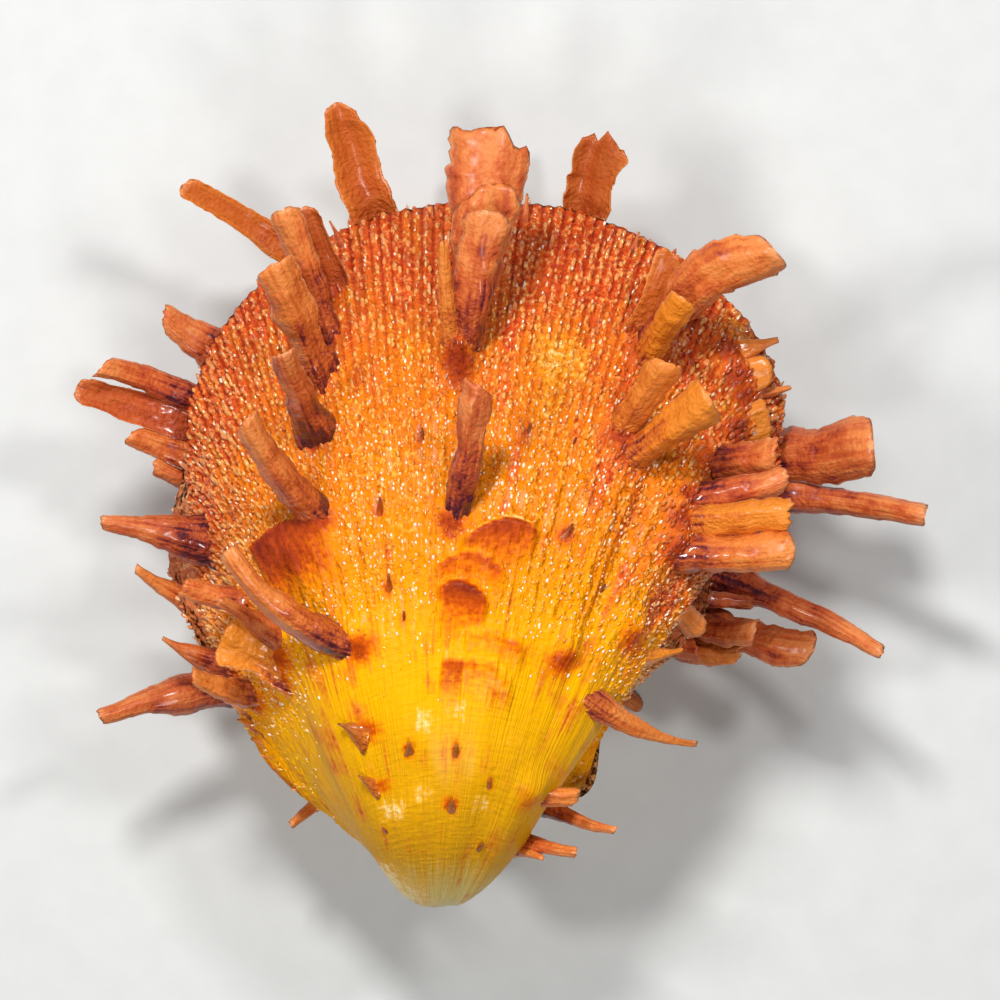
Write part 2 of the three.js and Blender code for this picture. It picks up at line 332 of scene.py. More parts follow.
def skin_axes():
    """The distance round the margin of each column, and the growth share of each outer row."""
    ribs = np.linspace(0, HINGE_START, RIBLETS * STEPS_PER_RIBLET + 1)
    hinge = np.linspace(HINGE_START, LENGTH[-1], HINGE_COLUMNS + 1)[1:]
    shares = np.concatenate([np.linspace(a, b, n, endpoint=False) for a, b, n in GROWTH_ROWS] + [[1]])
    return np.concatenate([ribs, hinge]), shares


def riblets(around, share, seed):
    """Height of the riblets from 0 in a furrow to 1 on a crest, with more of them as the valve widens."""
    turns = 2 * np.pi * around / HINGE_START * RIBLETS
    fine = smooth(0.58, 0.8, share)
    coarse = smooth(0.36, 0.56, share) * (1 - 0.55 * fine)
    unevenness = 1 + 0.35 * lattice_noise(seed, turns / (2 * np.pi), share * 12, RIBLETS, 12)
    wave = fine * np.cos(turns) + coarse * np.cos(turns / 2) + 0.4 * coarse * np.cos(turns / 4)
    return np.clip(0.5 + 0.33 * unevenness * wave, 0, 1)


def ledge_height(valve, points, rows):
    """How far old scales rise above the dome, how dark their ramps are stained and painted with shade, and
    where their lips are.
    """
    rise, dark, lip = np.zeros((3, *points.shape[:2]))
    for x, y, half, length, lift, arch, skew, colour in rows:
        onward = np.array([x, y]) - valve["umbo"]
        onward = onward / np.linalg.norm(onward)
        gap = points[..., :2] - [x, y]
        aside = (gap[..., 0] * onward[1] - gap[..., 1] * onward[0]) / half
        behind = skew * aside - arch * aside**2 - (gap[..., 0] * onward[0] + gap[..., 1] * onward[1])
        window = 1 - smooth(0.72, 1.05, np.abs(aside))
        ramp = np.clip(1 - behind / length, 0, 1) * smooth(-0.5, 0.1, behind) * window
        rise = np.maximum(rise, lift * ramp**1.4)
        # The ramp is darkened towards the lip: stain together with painted shade, since the ramp faces the
        # beak, away from the light.
        under = np.exp(-1.8 * np.maximum(behind, 0) / length) * smooth(-0.4, 0.1, behind)
        soft = (1 - smooth(0.55, 1.1, np.abs(aside))) * (1 - smooth(0.8, 1.5, behind / length))
        dark = np.maximum(dark, colour * under * soft)
        lip = np.maximum(lip, lift / 2 * window * np.exp(-(((behind + 0.3) / 0.4) ** 2)))
    return rise, dark, lip


def valve_skin(valve, seed, mounds, fold, ledges):
    """The skin of a valve: points, directions, share, riblets, bare dome, old stains with the painted shade
    of their ramps, lips and valleys.
    """
    around, shares = skin_axes()
    share = shares[:, None] * np.ones_like(around)
    rib = np.broadcast_to(around, share.shape)
    bare = grown(valve, share, rim(valve, rib))
    normal = facing(bare, valve["side"])
    ends = smooth(0, 5, rib) * (1 - smooth(HINGE_START - 5, HINGE_START, rib))
    crest = riblets(rib, share, seed)
    turn = rib / HINGE_START
    wide_fold, narrow_fold = fold(turn)
    # Ledges where growth paused, each a slow rise and a short drop, and low folds under the ribs.
    pause = share * PAUSES + 0.9 * lattice_noise(seed + 1, turn * 9, share * 9, 9, 9)
    ledge = (pause % 1) * smooth(0.4, 0.7, share)
    folds = lattice_noise(seed + 2, turn * 26, share * 0, 26, 2) * smooth(0.3, 0.95, share)
    pleats = lattice_noise(seed + 5, turn * 70, share * 3, 70, 3) * smooth(0.3, 0.6, share)
    dents = lattice_noise(seed + 6, turn * 14, share * 16, 14, 16) * (1 - smooth(0.45, 0.7, share))
    lumps = lattice_noise(seed + 3, turn * 90, share * 34, 90, 34) * smooth(0.35, 0.7, share)
    grit = lattice_noise(seed + 4, turn * 300, share * 90, 300, 90) * smooth(0.5, 0.9, share)
    rise, dark, lip = ledge_height(valve, bare, ledges)
    # The flanks beside the hinge are smoother than the rest.
    calm = 0.25 + 0.75 * smooth(4, 24, bare[..., 1])
    dents = dents + 0.8 * (1 - calm) * lattice_noise(seed + 7, turn * 24, share * 9, 24, 9)
    height = RIBLET_RISE * crest * calm * smooth(0.25, 0.8, share) * (1 - 0.8 * dark)
    height = height + PAUSE_RISE * ledge
    height = height + wide_fold * (0.5 + 0.5 * folds) + 0.5 * narrow_fold * pleats
    height = height + calm * (LUMP_RISE * (lumps + 1) + GRIT_RISE * (grit + 1))
    height = height + DENT_RISE * (dents + 1) * smooth(0.1, 0.3, share)
    for place, lift, spread in mounds:
        gap = np.linalg.norm(bare - place, axis=-1)
        height = height + lift * np.exp(-((gap / spread) ** 2))
    points = bare + ((height + rise) * ends)[..., None] * normal
    valley = np.maximum(0, wide_fold - 0.7) * np.maximum(0, -folds) * (1 - smooth(0.7, 0.9, share))
    return points, normal, share, crest * ends, bare, dark, lip, valley


def ripeness(points, share):
    """How far the pigment has deepened: by growth, and less on the flanks beside the hinge."""
    flank = smooth(0.3, 0.6, share) * (1 - smooth(0, 34, points[..., 1]))
    return share * (0.6 + 0.4 * smooth(5, 40, points[..., 1]) - 0.18 * flank)


def valve_body(name, valve, skin, stain_and_shade, patches, materials):
    """The whole valve: outer skin, lip and hollow, as one closed mesh with its attributes."""
    points, _, share, crest, bare = skin[:5]
    around, shares = skin_axes()
    # The hollow is drawn in from the rim by the wall and, behind the hinge line, by the hinge plate.
    edge = rim(valve, around)
    away = np.linalg.norm(edge - CENTRE, axis=-1)
    rows = []
    for inner in HOLLOW_SHARES:
        inset = WALL / inner + HINGE_PLATE * (1 - smooth(0, 16, edge[:, 1]))
        drawn = (inset / away)[:, None]
        rows.append(grown(valve, inner, edge + (CENTRE - edge) * drawn))
    pole = rows[-1].mean(axis=0)
    rows.append(np.broadcast_to(pole, rows[-1].shape))
    first = np.broadcast_to(points[0].mean(axis=0), points[0].shape)
    full = np.vstack([first[None], points, np.array(rows)])
    outer = len(points) + 1
    inner_rows = len(rows)

    mesh = sheet_mesh(name, len(around) - 1, len(full) - 1)
    flat = vertex_places(mesh)
    column = np.rint((flat[:, 0] + 0.5) * (len(around) - 1)).astype(int)
    row = np.rint((flat[:, 1] + 0.5) * (len(full) - 1)).astype(int)

    def spread(values, inside):
        stacked = np.vstack([values[:1], values, np.full((inner_rows, len(around)), inside)])
        return stacked[row, column]

    attributes = {"crest": spread(crest, 0.5), "stain_and_shade": spread(stain_and_shade, 0.0)}
    attributes["ripe"] = spread(ripeness(bare, share), 1.0)
    for patch, values in patches.items():
        attributes[patch] = spread(values, 0.0)
    attributes["tint"] = 0.0
    attributes["bead"] = 0.0
    shape_mesh(mesh, full[row, column], attributes)
    growth = np.concatenate([shares[:1], shares, 1 + 0.1 * np.arange(1, inner_rows + 1)])
    per_share = share_length(valve)

    def to_millimetres(uv):
        round_rim = np.interp(uv[:, 0], np.linspace(0, 1, len(around)), around)
        along = np.interp(uv[:, 1], np.linspace(0, 1, len(growth)), growth) * per_share
        return np.stack([round_rim, along], -1)

    scale_uvs(mesh, to_millimetres)
    inside = np.zeros(len(mesh.polygons), int)
    corner_rows = row[np.array([p.vertices[0] for p in mesh.polygons])]
    other_rows = row[np.array([p.vertices[2] for p in mesh.polygons])]
    inside[np.minimum(corner_rows, other_rows) >= outer] = 1
    mesh.polygons.foreach_set("material_index", inside)
    return closed_object(name, mesh, materials)


CALCITE_IOR = 1.53


# Wet calcite with its periostracum worn off: a clear gloss over orange and red pigment.
def shell_material(name, growth_stops, margin_stops, furrow, bead, worn_stops, gloss):
    material, tree, shell = new_material(name)
    uv = add_node(tree, "UVMap", uv_map="UVMap").outputs["UV"]
    place = add_node(tree, "TexCoord").outputs["Object"]
    ripe, crest, stain_and_shade, red, pale, tint, is_bead = (
        add_node(tree, "Attribute", attribute_name=name).outputs["Fac"]
        for name in ("ripe", "crest", "stain_and_shade", "red", "pale", "tint", "bead")
    )

    # Streaks of pigment 1.5 mm wide and some 12 mm long run along the riblets, in bands of 6 mm. Growth
    # lines are 0.6 mm apart and radial striae 0.7 mm. Each: its width and length in millimetres.
    patterns = []
    for wide, long, detail in ((1.5, 12, 3.0), (6, 34, 2.0), (9, 0.6, 2.0), (0.7, 14, 2.0)):
        strip = add_node(tree, "Mapping", {"Vector": uv, "Scale": (1 / wide, 1 / long, 1)})
        patterns.append(add_node(tree, "TexNoise", {"Vector": strip, "Scale": 1.0, "Detail": detail}))
    streak, band, growth_lines, striae = patterns
    # Mottling 4 mm across, and specks of 0.7 mm, one to a bead.
    blotch = add_node(tree, "TexNoise", {"Vector": place, "Scale": 250.0, "Detail": 4.0})
    speck = add_node(tree, "TexNoise", {"Vector": place, "Scale": 1400.0, "Detail": 2.0})

    wander = add_node(tree, "Math", {0: streak, 1: -0.5}, operation="ADD")
    wander = add_node(tree, "Math", {0: wander, 1: ripe}, operation="MULTIPLY")
    wander = add_node(tree, "Math", {0: wander, 1: 0.7, 2: ripe}, operation="MULTIPLY_ADD")
    colour = add_node(tree, "ValToRGB", {"Fac": wander}, growth_stops)

    # How red the shell is: more towards the margin and in the furrows, in streaks and blotches.
    turning = add_node(tree, "MapRange", {"Value": ripe, "From Min": 0.6, "From Max": 1.0, "To Max": 0.8})
    amount = add_node(tree, "Math", {0: streak, 1: blotch}, operation="ADD")
    amount = add_node(tree, "Math", {0: amount, 1: band}, operation="ADD")
    amount = add_node(tree, "Math", {0: amount, 1: 2.6, 2: -4.1}, operation="MULTIPLY_ADD")
    amount = add_node(tree, "Math", {0: turning, 1: amount}, operation="ADD")
    amount = add_node(tree, "Math", {0: red, 1: 0.9, 2: amount}, operation="MULTIPLY_ADD")
    amount = add_node(tree, "Math", {0: pale, 1: -1.1, 2: amount}, operation="MULTIPLY_ADD")
    amount.use_clamp = True
    depth = add_node(tree, "Math", {0: speck, 1: 1.0, 2: -0.25}, operation="MULTIPLY_ADD")
    margin = add_node(tree, "ValToRGB", {"Fac": depth}, margin_stops)
    mixed = add_node(tree, "Mix", {"Factor": amount, "A": colour, "B": margin}, data_type="RGBA")
    # Furrows are darker: their maroon pigment together with painted shade in the furrows. The tops of the
    # riblets and beads are lighter: the beads' own tone together with a painted highlight on the crests.
    low = add_node(tree, "MapRange", {"Value": crest, "From Min": 0.55, "From Max": 0.15})
    low = add_node(tree, "Math", {0: low, 1: turning}, operation="MULTIPLY")
    low = add_node(tree, "Math", {0: low, 1: 1.2}, operation="MULTIPLY", use_clamp=True)
    mixed = add_node(tree, "Mix", {"Factor": low, "A": mixed, "B": linear(furrow)}, data_type="RGBA")
    high = add_node(tree, "MapRange", {"Value": speck, "From Min": 0.55, "From Max": 0.72})
    high = add_node(tree, "Math", {0: high, 1: crest}, operation="MULTIPLY")
    chance = add_node(tree, "MapRange", {"Value": tint, "From Min": 0.16, "From Max": 0.9, "To Max": 0.95})
    high = add_node(tree, "Math", {0: high, 1: chance}, operation="MAXIMUM")
    rough = add_node(tree, "MapRange", {"Value": ripe, "From Min": 0.28, "From Max": 0.5, "To Min": 0.1})
    high = add_node(tree, "Math", {0: high, 1: rough}, operation="MULTIPLY")
    mixed = add_node(
        tree, "Mix", {"Factor": high, "A": mixed, "B": linear(bead)},
        data_type="RGBA", blend_type="SCREEN",
    )
    # Some of the smaller beads are painted near-white all over: a painted glint standing in for the lamps'
    # highlights.
    painted_glint = add_node(tree, "MapRange", {"Value": tint, "From Min": 0.84, "From Max": 1.0, "To Max": 0.85})
    mixed = add_node(
        tree, "Mix", {"Factor": painted_glint, "A": mixed, "B": linear("#fff0dc")},
        data_type="RGBA",
    )
    # Where the surface is worn or blistered it is cream, in streaks.
    worn = add_node(tree, "Math", {0: streak, 1: 1.4, 2: -1.2}, operation="MULTIPLY_ADD")
    worn = add_node(tree, "Math", {0: worn, 1: pale}, operation="ADD")
    grainy = add_node(tree, "Math", {0: speck, 1: 1.6, 2: -0.8}, operation="MULTIPLY_ADD")
    worn = add_node(tree, "Math", {0: worn, 1: grainy}, operation="ADD", use_clamp=True)
    cream = add_node(tree, "ValToRGB", {"Fac": worn}, worn_stops)
    mixed = add_node(tree, "Mix", {"Factor": worn, "A": mixed, "B": cream}, data_type="RGBA")
    # Round the spine roots and old breaks the shell is stained, darkest at the middle. On the old scale
    # ramps the same dark is also painted shade.
    edge = add_node(tree, "Math", {0: speck, 1: blotch}, operation="ADD")
    edge = add_node(tree, "Math", {0: edge, 1: 0.6, 2: -0.6}, operation="MULTIPLY_ADD")
    edge = add_node(tree, "Math", {0: edge, 1: stain_and_shade}, operation="ADD")
    stained = add_node(
        tree, "ValToRGB", {"Fac": edge},
        [(0.12, "#ee8200"), (0.42, "#da5e02"), (0.72, "#b04206"), (1.0, "#80280e")],
    )
    purple = add_node(tree, "MapRange", {"Value": ripe, "From Min": 0.46, "From Max": 0.66, "To Max": 0.42})
    stained = add_node(
        tree, "Mix", {"Factor": purple, "A": stained, "B": linear("#7c2424")}, data_type="RGBA",
    )
    fade = add_node(tree, "MapRange", {"Value": edge, "From Min": 0.05, "From Max": 0.55})
    seen = add_node(tree, "Math", {0: stain_and_shade, 1: 12.0}, operation="MULTIPLY", use_clamp=True)
    fade = add_node(tree, "Math", {0: fade, 1: seen}, operation="MULTIPLY")
    mixed = add_node(tree, "Mix", {"Factor": fade, "A": mixed, "B": stained}, data_type="RGBA")
    tree.links.new(mixed.outputs["Result"], shell.inputs["Base Color"])

    # Grain 1.1 mm apart along the riblets, with the growth lines and striae over it.
    knots = add_node(tree, "Mapping", {"Vector": uv, "Scale": (1 / 1.3, 1 / 1.1, 1)})
    beads = add_node(tree, "TexVoronoi", {"Vector": knots, "Scale": 1.0}, feature="SMOOTH_F1")
    grain = add_node(tree, "Math", {0: speck, 1: 1.6}, operation="MULTIPLY")
    rise = add_node(tree, "Math", {0: beads, 1: -1.4, 2: grain}, operation="MULTIPLY_ADD")
    even = add_node(tree, "Math", {0: stain_and_shade, 1: -0.9, 2: 1.0}, operation="MULTIPLY_ADD", use_clamp=True)
    even = add_node(tree, "Math", {0: even, 1: rough}, operation="MULTIPLY")
    rise = add_node(tree, "Math", {0: rise, 1: even}, operation="MULTIPLY")
    rise = add_node(tree, "Math", {0: growth_lines, 1: 0.4, 2: rise}, operation="MULTIPLY_ADD")
    rise = add_node(tree, "Math", {0: striae, 1: 0.5, 2: rise}, operation="MULTIPLY_ADD")
    bump = add_node(tree, "Bump", {"Height": rise, "Strength": 0.8, "Distance": 0.55 * MM})
    tree.links.new(bump.outputs["Normal"], shell.inputs["Normal"])
    shell.inputs["IOR"].default_value = CALCITE_IOR
    shell.inputs["Specular IOR Level"].default_value = 0.04
    # Water stands on the beads and makes them glint. Between them it is thinner.
    for socket, value, low, high in (
        ("Roughness", blotch, 0.3, 0.55),
        ("Coat Weight", is_bead, 0.15 * gloss, gloss),
        ("Coat Roughness", is_bead, 0.22, 0.07),
        ("Coat IOR", is_bead, 1.33, 1.9),
    ):
        spread = add_node(tree, "MapRange", {"Value": value, "To Min": low, "To Max": high})
        tree.links.new(spread.outputs[0], shell.inputs[socket])
    return material


# The furrow colour is maroon pigment with painted shade; the bead colour lightens crests and beads with
# their own tone and a painted highlight.
upper_shell = shell_material(
    "wet orange and yellow calcite",
    [
        (0.0, "#f6eedc"), (0.08, "#e0c470"), (0.12, "#d09410"), (0.17, "#dc9c06"), (0.25, "#eeaa00"),
        (0.36, "#ee9e00"), (0.48, "#ea8c00"), (0.62, "#e47c02"), (0.78, "#de7012"), (1.0, "#d2602a"),
    ],
    [(0.0, "#b02e10"), (0.3, "#d85a22"), (0.55, "#f28c48"), (0.9, "#ffc28a")],
    "#982410", "#dc9c52", [(0.4, "#f8ae1c"), (1.0, "#f8dc98")], 0.9,
)

# The inside is white and smooth, with clouds some 11 mm across.
porcelain, tree, glaze = new_material("white porcelain layer")
place = add_node(tree, "TexCoord").outputs["Object"]
cloud = add_node(tree, "TexNoise", {"Vector": place, "Scale": 90.0})
milk = add_node(tree, "ValToRGB", {"Fac": cloud}, [(0.3, "#e9dccb"), (0.7, "#f7f1e8")])
tree.links.new(milk.outputs["Color"], glaze.inputs["Base Color"])
glaze.inputs["Roughness"].default_value = 0.18

# Spines of the upper valve: root x and y, then tip x, y and z, width at the root and at the tip, bow
# to the right, roll of its edges in degrees (away from the top, or towards it if negative), how torn
# its end is in millimetres, and how orange it is, from 0 for maroon to 1 for yellow-orange.
UPPER_SPINES = [
    # the middle rib; its far spine is three sheets, one on another, with a narrow one beside them
    (0.8, 38, 4.7, 55.9, 35, 3, 4.4, 0.4, 55, 0.5, 0.3),
    (2.2, 56.8, 7, 89.4, 22, 2.4, 10.6, 0, 26, 1.4, 0.35),
    (2.2, 57.2, 5.8, 82.4, 23.6, 2.8, 8, 0.2, 40, 0.7, 0.45),
    (2.2, 57.6, 5.2, 77.4, 25.4, 3, 6, 0.2, 50, 0.3, 0.4),
    (1.8, 58, -0.2, 73.4, 25, 3.4, 1.2, -0.4, 30, 0.6, 0.75),
    # the left-hand ribs, from the far edge to the hinge
    (-14.6, 67, -18.7, 77.5, 14, 4, 3.4, 0, -60, 0.3, 0.5),
    (-15.6, 61, -21.1, 77.4, 19, 4.2, 3.6, 0.6, 60, 0.4, 0.45),
    (-16.6, 55.5, -22.7, 70.7, 26, 4.8, 5.4, 0.8, 50, 0.3, 0.45),
    (-16.6, 48.5, -20.8, 58.5, 32, 5, 3, 0, 70, 0.3, 0.25),
    (-15.6, 38, -25.4, 50.5, 34, 4.2, 3.3, -0.8, 75, 0.3, 0.4),
    (-11, 22.4, -28.1, 33.6, 31, 4.8, 2.4, -2, 75, 0.2, 0.5),
    (-20.4, 20.4, -29.5, 26.8, 22, 3.8, 1.6, 0.8, 70, 0.3, 0.4),
    (-25.4, 26.8, -34.7, 28.5, 15, 4, 2.4, 0, 60, 0.3, 0.5),
    (-20.6, 17.6, -29.2, 22.6, 17.4, 4.6, 6.6, 0, 12, 0.3, 1),
    (-24, 14.4, -33.6, 17, 12, 3.8, 2, -0.8, 60, 0.4, 0.55),
    (-27.6, 18, -37.2, 21.5, 6, 6, 0.6, -0.6, 60, 0.2, 0.45),
    (-30, 34.2, -45.4, 36.6, 8, 6.4, 1.8, 0.6, 60, 0.2, 0.3),
    # the right-hand ribs, from the far edge to the hinge
    (25.6, 59.6, 30.1, 72.3, 17, 3.8, 3.8, -0.6, -25, 0.5, 0.95),
    (26.6, 58.6, 42.8, 71.8, 24, 4.2, 7, -3.4, 62, 0, 0.4),
    (26.2, 58, 31.6, 65.6, 23.6, 3.8, 3.8, -0.4, 50, 0.2, 1),
    (22.2, 48.6, 29.3, 58.4, 28, 3.4, 4.2, 0, 55, 0.8, 0.8),
    (23.4, 46.2, 34.6, 53.4, 29, 4.2, 6.4, 0.4, 70, 0.3, 0.85),
    (34.4, 44.8, 45.2, 45.2, 19, 4.4, 5.6, 0, 45, 0.8, 0.35),
    (36, 59.4, 43.7, 60.4, 6.4, 4.6, 0.8, 0, 25, 0.1, 0.8),
    (37, 56, 43.4, 56.8, 5.6, 4.4, 4.2, 0, 20, 0.3, 0.85),
    (38.4, 53.4, 45.4, 54.2, 3.6, 3.2, 0.6, 0, 40, 0.1, 0.5),
    (37.4, 49.4, 43.6, 50.6, 5.4, 4.4, 4.8, 0, 15, 0.6, 0.9),
    (30.6, 40.8, 44.8, 42.6, 20, 4, 3.6, 0.6, 55, 0.5, 0.1),
    (29.4, 38.2, 46.4, 37.8, 22, 4.4, 4.4, 0.4, 55, 1, 0.85),
    (28.8, 34.6, 45.7, 33.3, 22, 4.6, 5, 0.6, 65, 0.1, 0.6),
    (23.6, 23.2, 31, 20, 12, 4.8, 0.7, 1.2, 45, 0.1, 1),
    (29, 33.4, 34, 21.6, 6.4, 2.8, 3.4, 1.2, 50, 0.4, 0.65),
    (15.4, 20.6, 32.9, 7.6, 14, 5.6, 0.9, 2.4, 45, 0.1, 0.6),
    (11, 2.6, 18.1, 1.2, 17, 3, 2.2, 0, 50, 0.4, 0.6),
    (11.6, 1, 22.5, -3.5, 14, 3, 1, 0.6, 60, 0.2, 0.4),
    (8.6, -3.2, 17.4, -6.3, 17, 2.8, 1.3, 0.4, 60, 0.2, 0.5),
    (7, -4.2, 13, -7.2, 15, 2.4, 0.8, 0, 60, 0.1, 0.6),
]

upper_roots = find_on(UPPER, [row[:2] for row in UPPER_SPINES])
root_places, _ = place_on(UPPER, upper_roots[:, 0], upper_roots[:, 1])


def upper_fold(turn):
    """How high the wide and the narrow folds stand: both are strongest on the right-hand ribs."""
    right = smooth(0.58, 0.66, turn) * (1 - smooth(0.84, 0.92, turn))
    return 0.7 + 1.1 * right, 0.15 + 1.3 * right


# Old scales that were overgrown: x and y of the middle of the lip, half its width, how far back the
# ramp begins, its rise, how far the ends of the lip lag, how far the lip slants and how dark it is,
# stain and painted shade of the ramp together.
UPPER_LEDGES = [
    (-19.6, 36.2, 5.6, 9.5, 2, 2, 0.2, 1),
    (7.6, 36.6, 5, 6.5, 1.7, 2.6, 1.6, 0.95),
    (3.8, 32.3, 4.8, 3.4, 1, 2.8, 0, 0.75),
    (2.6, 28.7, 3.4, 7, 1.4, 1.8, -0.5, 1.1),
    (6.6, 22.4, 4.4, 4.6, 0.9, 1.8, 0, 0.45),
    (1.2, 19.2, 1.6, 6.5, 0.9, 0.3, 0, 1),
    (5.6, 18.6, 4.4, 5, 0.8, 2.6, -0.8, 0.5),
    (7.4, 15, 1.7, 3.6, 0.4, 0.8, 0, 0.5),
]
UPPER_MOUND = (1.2, 2.3)  # how high and how wide the shell swells under a root
upper_skin = valve_skin(
    UPPER, 11, [(place, *UPPER_MOUND) for place in root_places], upper_fold, UPPER_LEDGES,
)
bare, scale_stain_and_shade, scale_lip, valley = upper_skin[4:]

# Stains: x, y, how far each way and how dark, on and round the roots and old breaks. Those behind the
# spine roots are fainter near the beak.
UPPER_STAINS = [
    (-8, 2.6, 1.4, 0.9, 0.7), (1.4, 7.4, 0.6, 1.4, 0.6), (-4.5, 7.4, 0.8, 1.0, 0.75),
    (0.7, 0.4, 1, 0.9, 0.75), (5.7, 3, 0.5, 1.1, 0.6), (-9.8, 9.6, 1.9, 1.5, 0.75),
    (10.2, 47.6, 0.7, 1.8, 0.6), (15.2, 34.6, 1.4, 1.2, 0.7), (-3, 47.2, 0.6, 1.4, 0.5),
    (-8.5, 37.6, 0.8, 1.2, 0.5), (-7.1, 28, 0.8, 1.3, 0.55), (-26.6, 37, 0.9, 1.1, 0.6),
    (-19.4, 31, 4.4, 3, 0.35), (-5.2, 24, 0.8, 1.2, 0.35), (4.4, 29.6, 5, 6, 0.2), (8, 20, 4, 3, 0.12),
]
ROOT_STAIN_REACH = 2.1
ROOT_STAIN_BACK = 0.018  # the share of growth by which it lies behind the root

# The dark of the old scale ramps is stain together with painted shade, kept off the lips.
stain_and_shade = 0.9 * scale_stain_and_shade * np.clip(1 - 1.4 * scale_lip, 0, 1)
for (around, share), place in zip(upper_roots, root_places):
    behind = grown(UPPER, np.array(share - ROOT_STAIN_BACK), rim(UPPER, np.array(around)))
    away = np.linalg.norm(bare - behind, axis=-1) / ROOT_STAIN_REACH
    darkest = 0.35 if share < 0.36 else 0.75
    stain_and_shade = np.maximum(stain_and_shade, darkest * np.exp(-(away**2)))
for x, y, wide, long, dark in UPPER_STAINS:
    gap = np.hypot((bare[..., 0] - x) / wide, (bare[..., 1] - y) / long)
    stain_and_shade += dark * np.exp(-(gap**2))

# Where the pigment is redder or paler than the growth lines alone would have it: x, y, reach, amount.
UPPER_RED = [
    (16, 71, 10, 0.8), (28, 66, 8, 0.6), (38, 55, 7, 0.7), (8, 62, 4, 0.5), (36, 46, 5, 0.5),
    (-26, 36, 6, 0.2), (-2, 68, 5, 0.4), (22, 54, 5, 0.5), (30, 28, 5, 0.7), (20, 36, 3, 0.4),
    (-27, 55, 6, 0.3), (-2, 40, 2, 0.4), (5, 40, 2, 0.4), (22, 43, 3, 0.6), (33, 36, 4, 0.7),
    (26, 33, 5, 0.7), (24, 26, 3.4, 0.5), (19, 43, 4, 0.3), (29, 42, 3, 0.5),
]
UPPER_PALE = [
    (-4, 58, 4, 0.7), (14.6, 57.4, 5, 1), (13, 50, 3, 0.6), (-22, 45, 4, 0.75), (-8, 44, 6, 0.6),
    (37, 61, 3, 0.8), (36, 51, 2.6, 0.6), (-14, 62, 4, 0.3), (4, 44, 5, 0.3), (-24, 30, 4, 0.5),
    (29, 40, 3, 0.7), (-12, 51, 3, 0.6), (-6, 36, 2, 0.6), (-17, 27, 3, 0.5), (-6.4, -0.5, 2, 1.4),
    (-3, 11, 2.6, 1.1), (-2.5, 2, 2, 1.2), (4.5, 0.5, 2, 1.1), (-4.5, -12.4, 3.4, 1.5),
    (-8, -9, 2.4, 1.5), (-11, -5, 1.3, 1), (9, 9, 2, 0.8), (2, 12.4, 2.2, 1), (0, 34, 3, 0.5),
    (12, 30, 3, 0.4),
]


def patches(points, rows):
    total = np.zeros(points.shape[:2])
    for x, y, reach, amount in rows:
        gap = np.hypot(points[..., 0] - x, points[..., 1] - y) / reach
        total += amount * np.exp(-(gap**2))
    return np.clip(total, 0, 1.5)


upper_red = patches(bare, UPPER_RED) + 1.6 * valley
upper_body = valve_body(
    "upper_valve_body", UPPER, upper_skin, np.clip(stain_and_shade, 0, 1.2),
    {"red": upper_red, "pale": patches(bare, UPPER_PALE) + 1.6 * scale_lip},
    [upper_shell, porcelain],
)
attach(upper_body, "root")
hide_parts("upper_valve")


# Beads stand in rows on the riblets, small near the umbo and coarse at the margin, where some are
# drawn out into prickles. Each leans towards the margin.
BEAD_PITCH = 0.76  # millimetres from bead to bead along a riblet
BEAD_SIZE = 0.16  # radius near the umbo
BEAD_GROWTH = 0.13  # how much larger the radius is at the margin


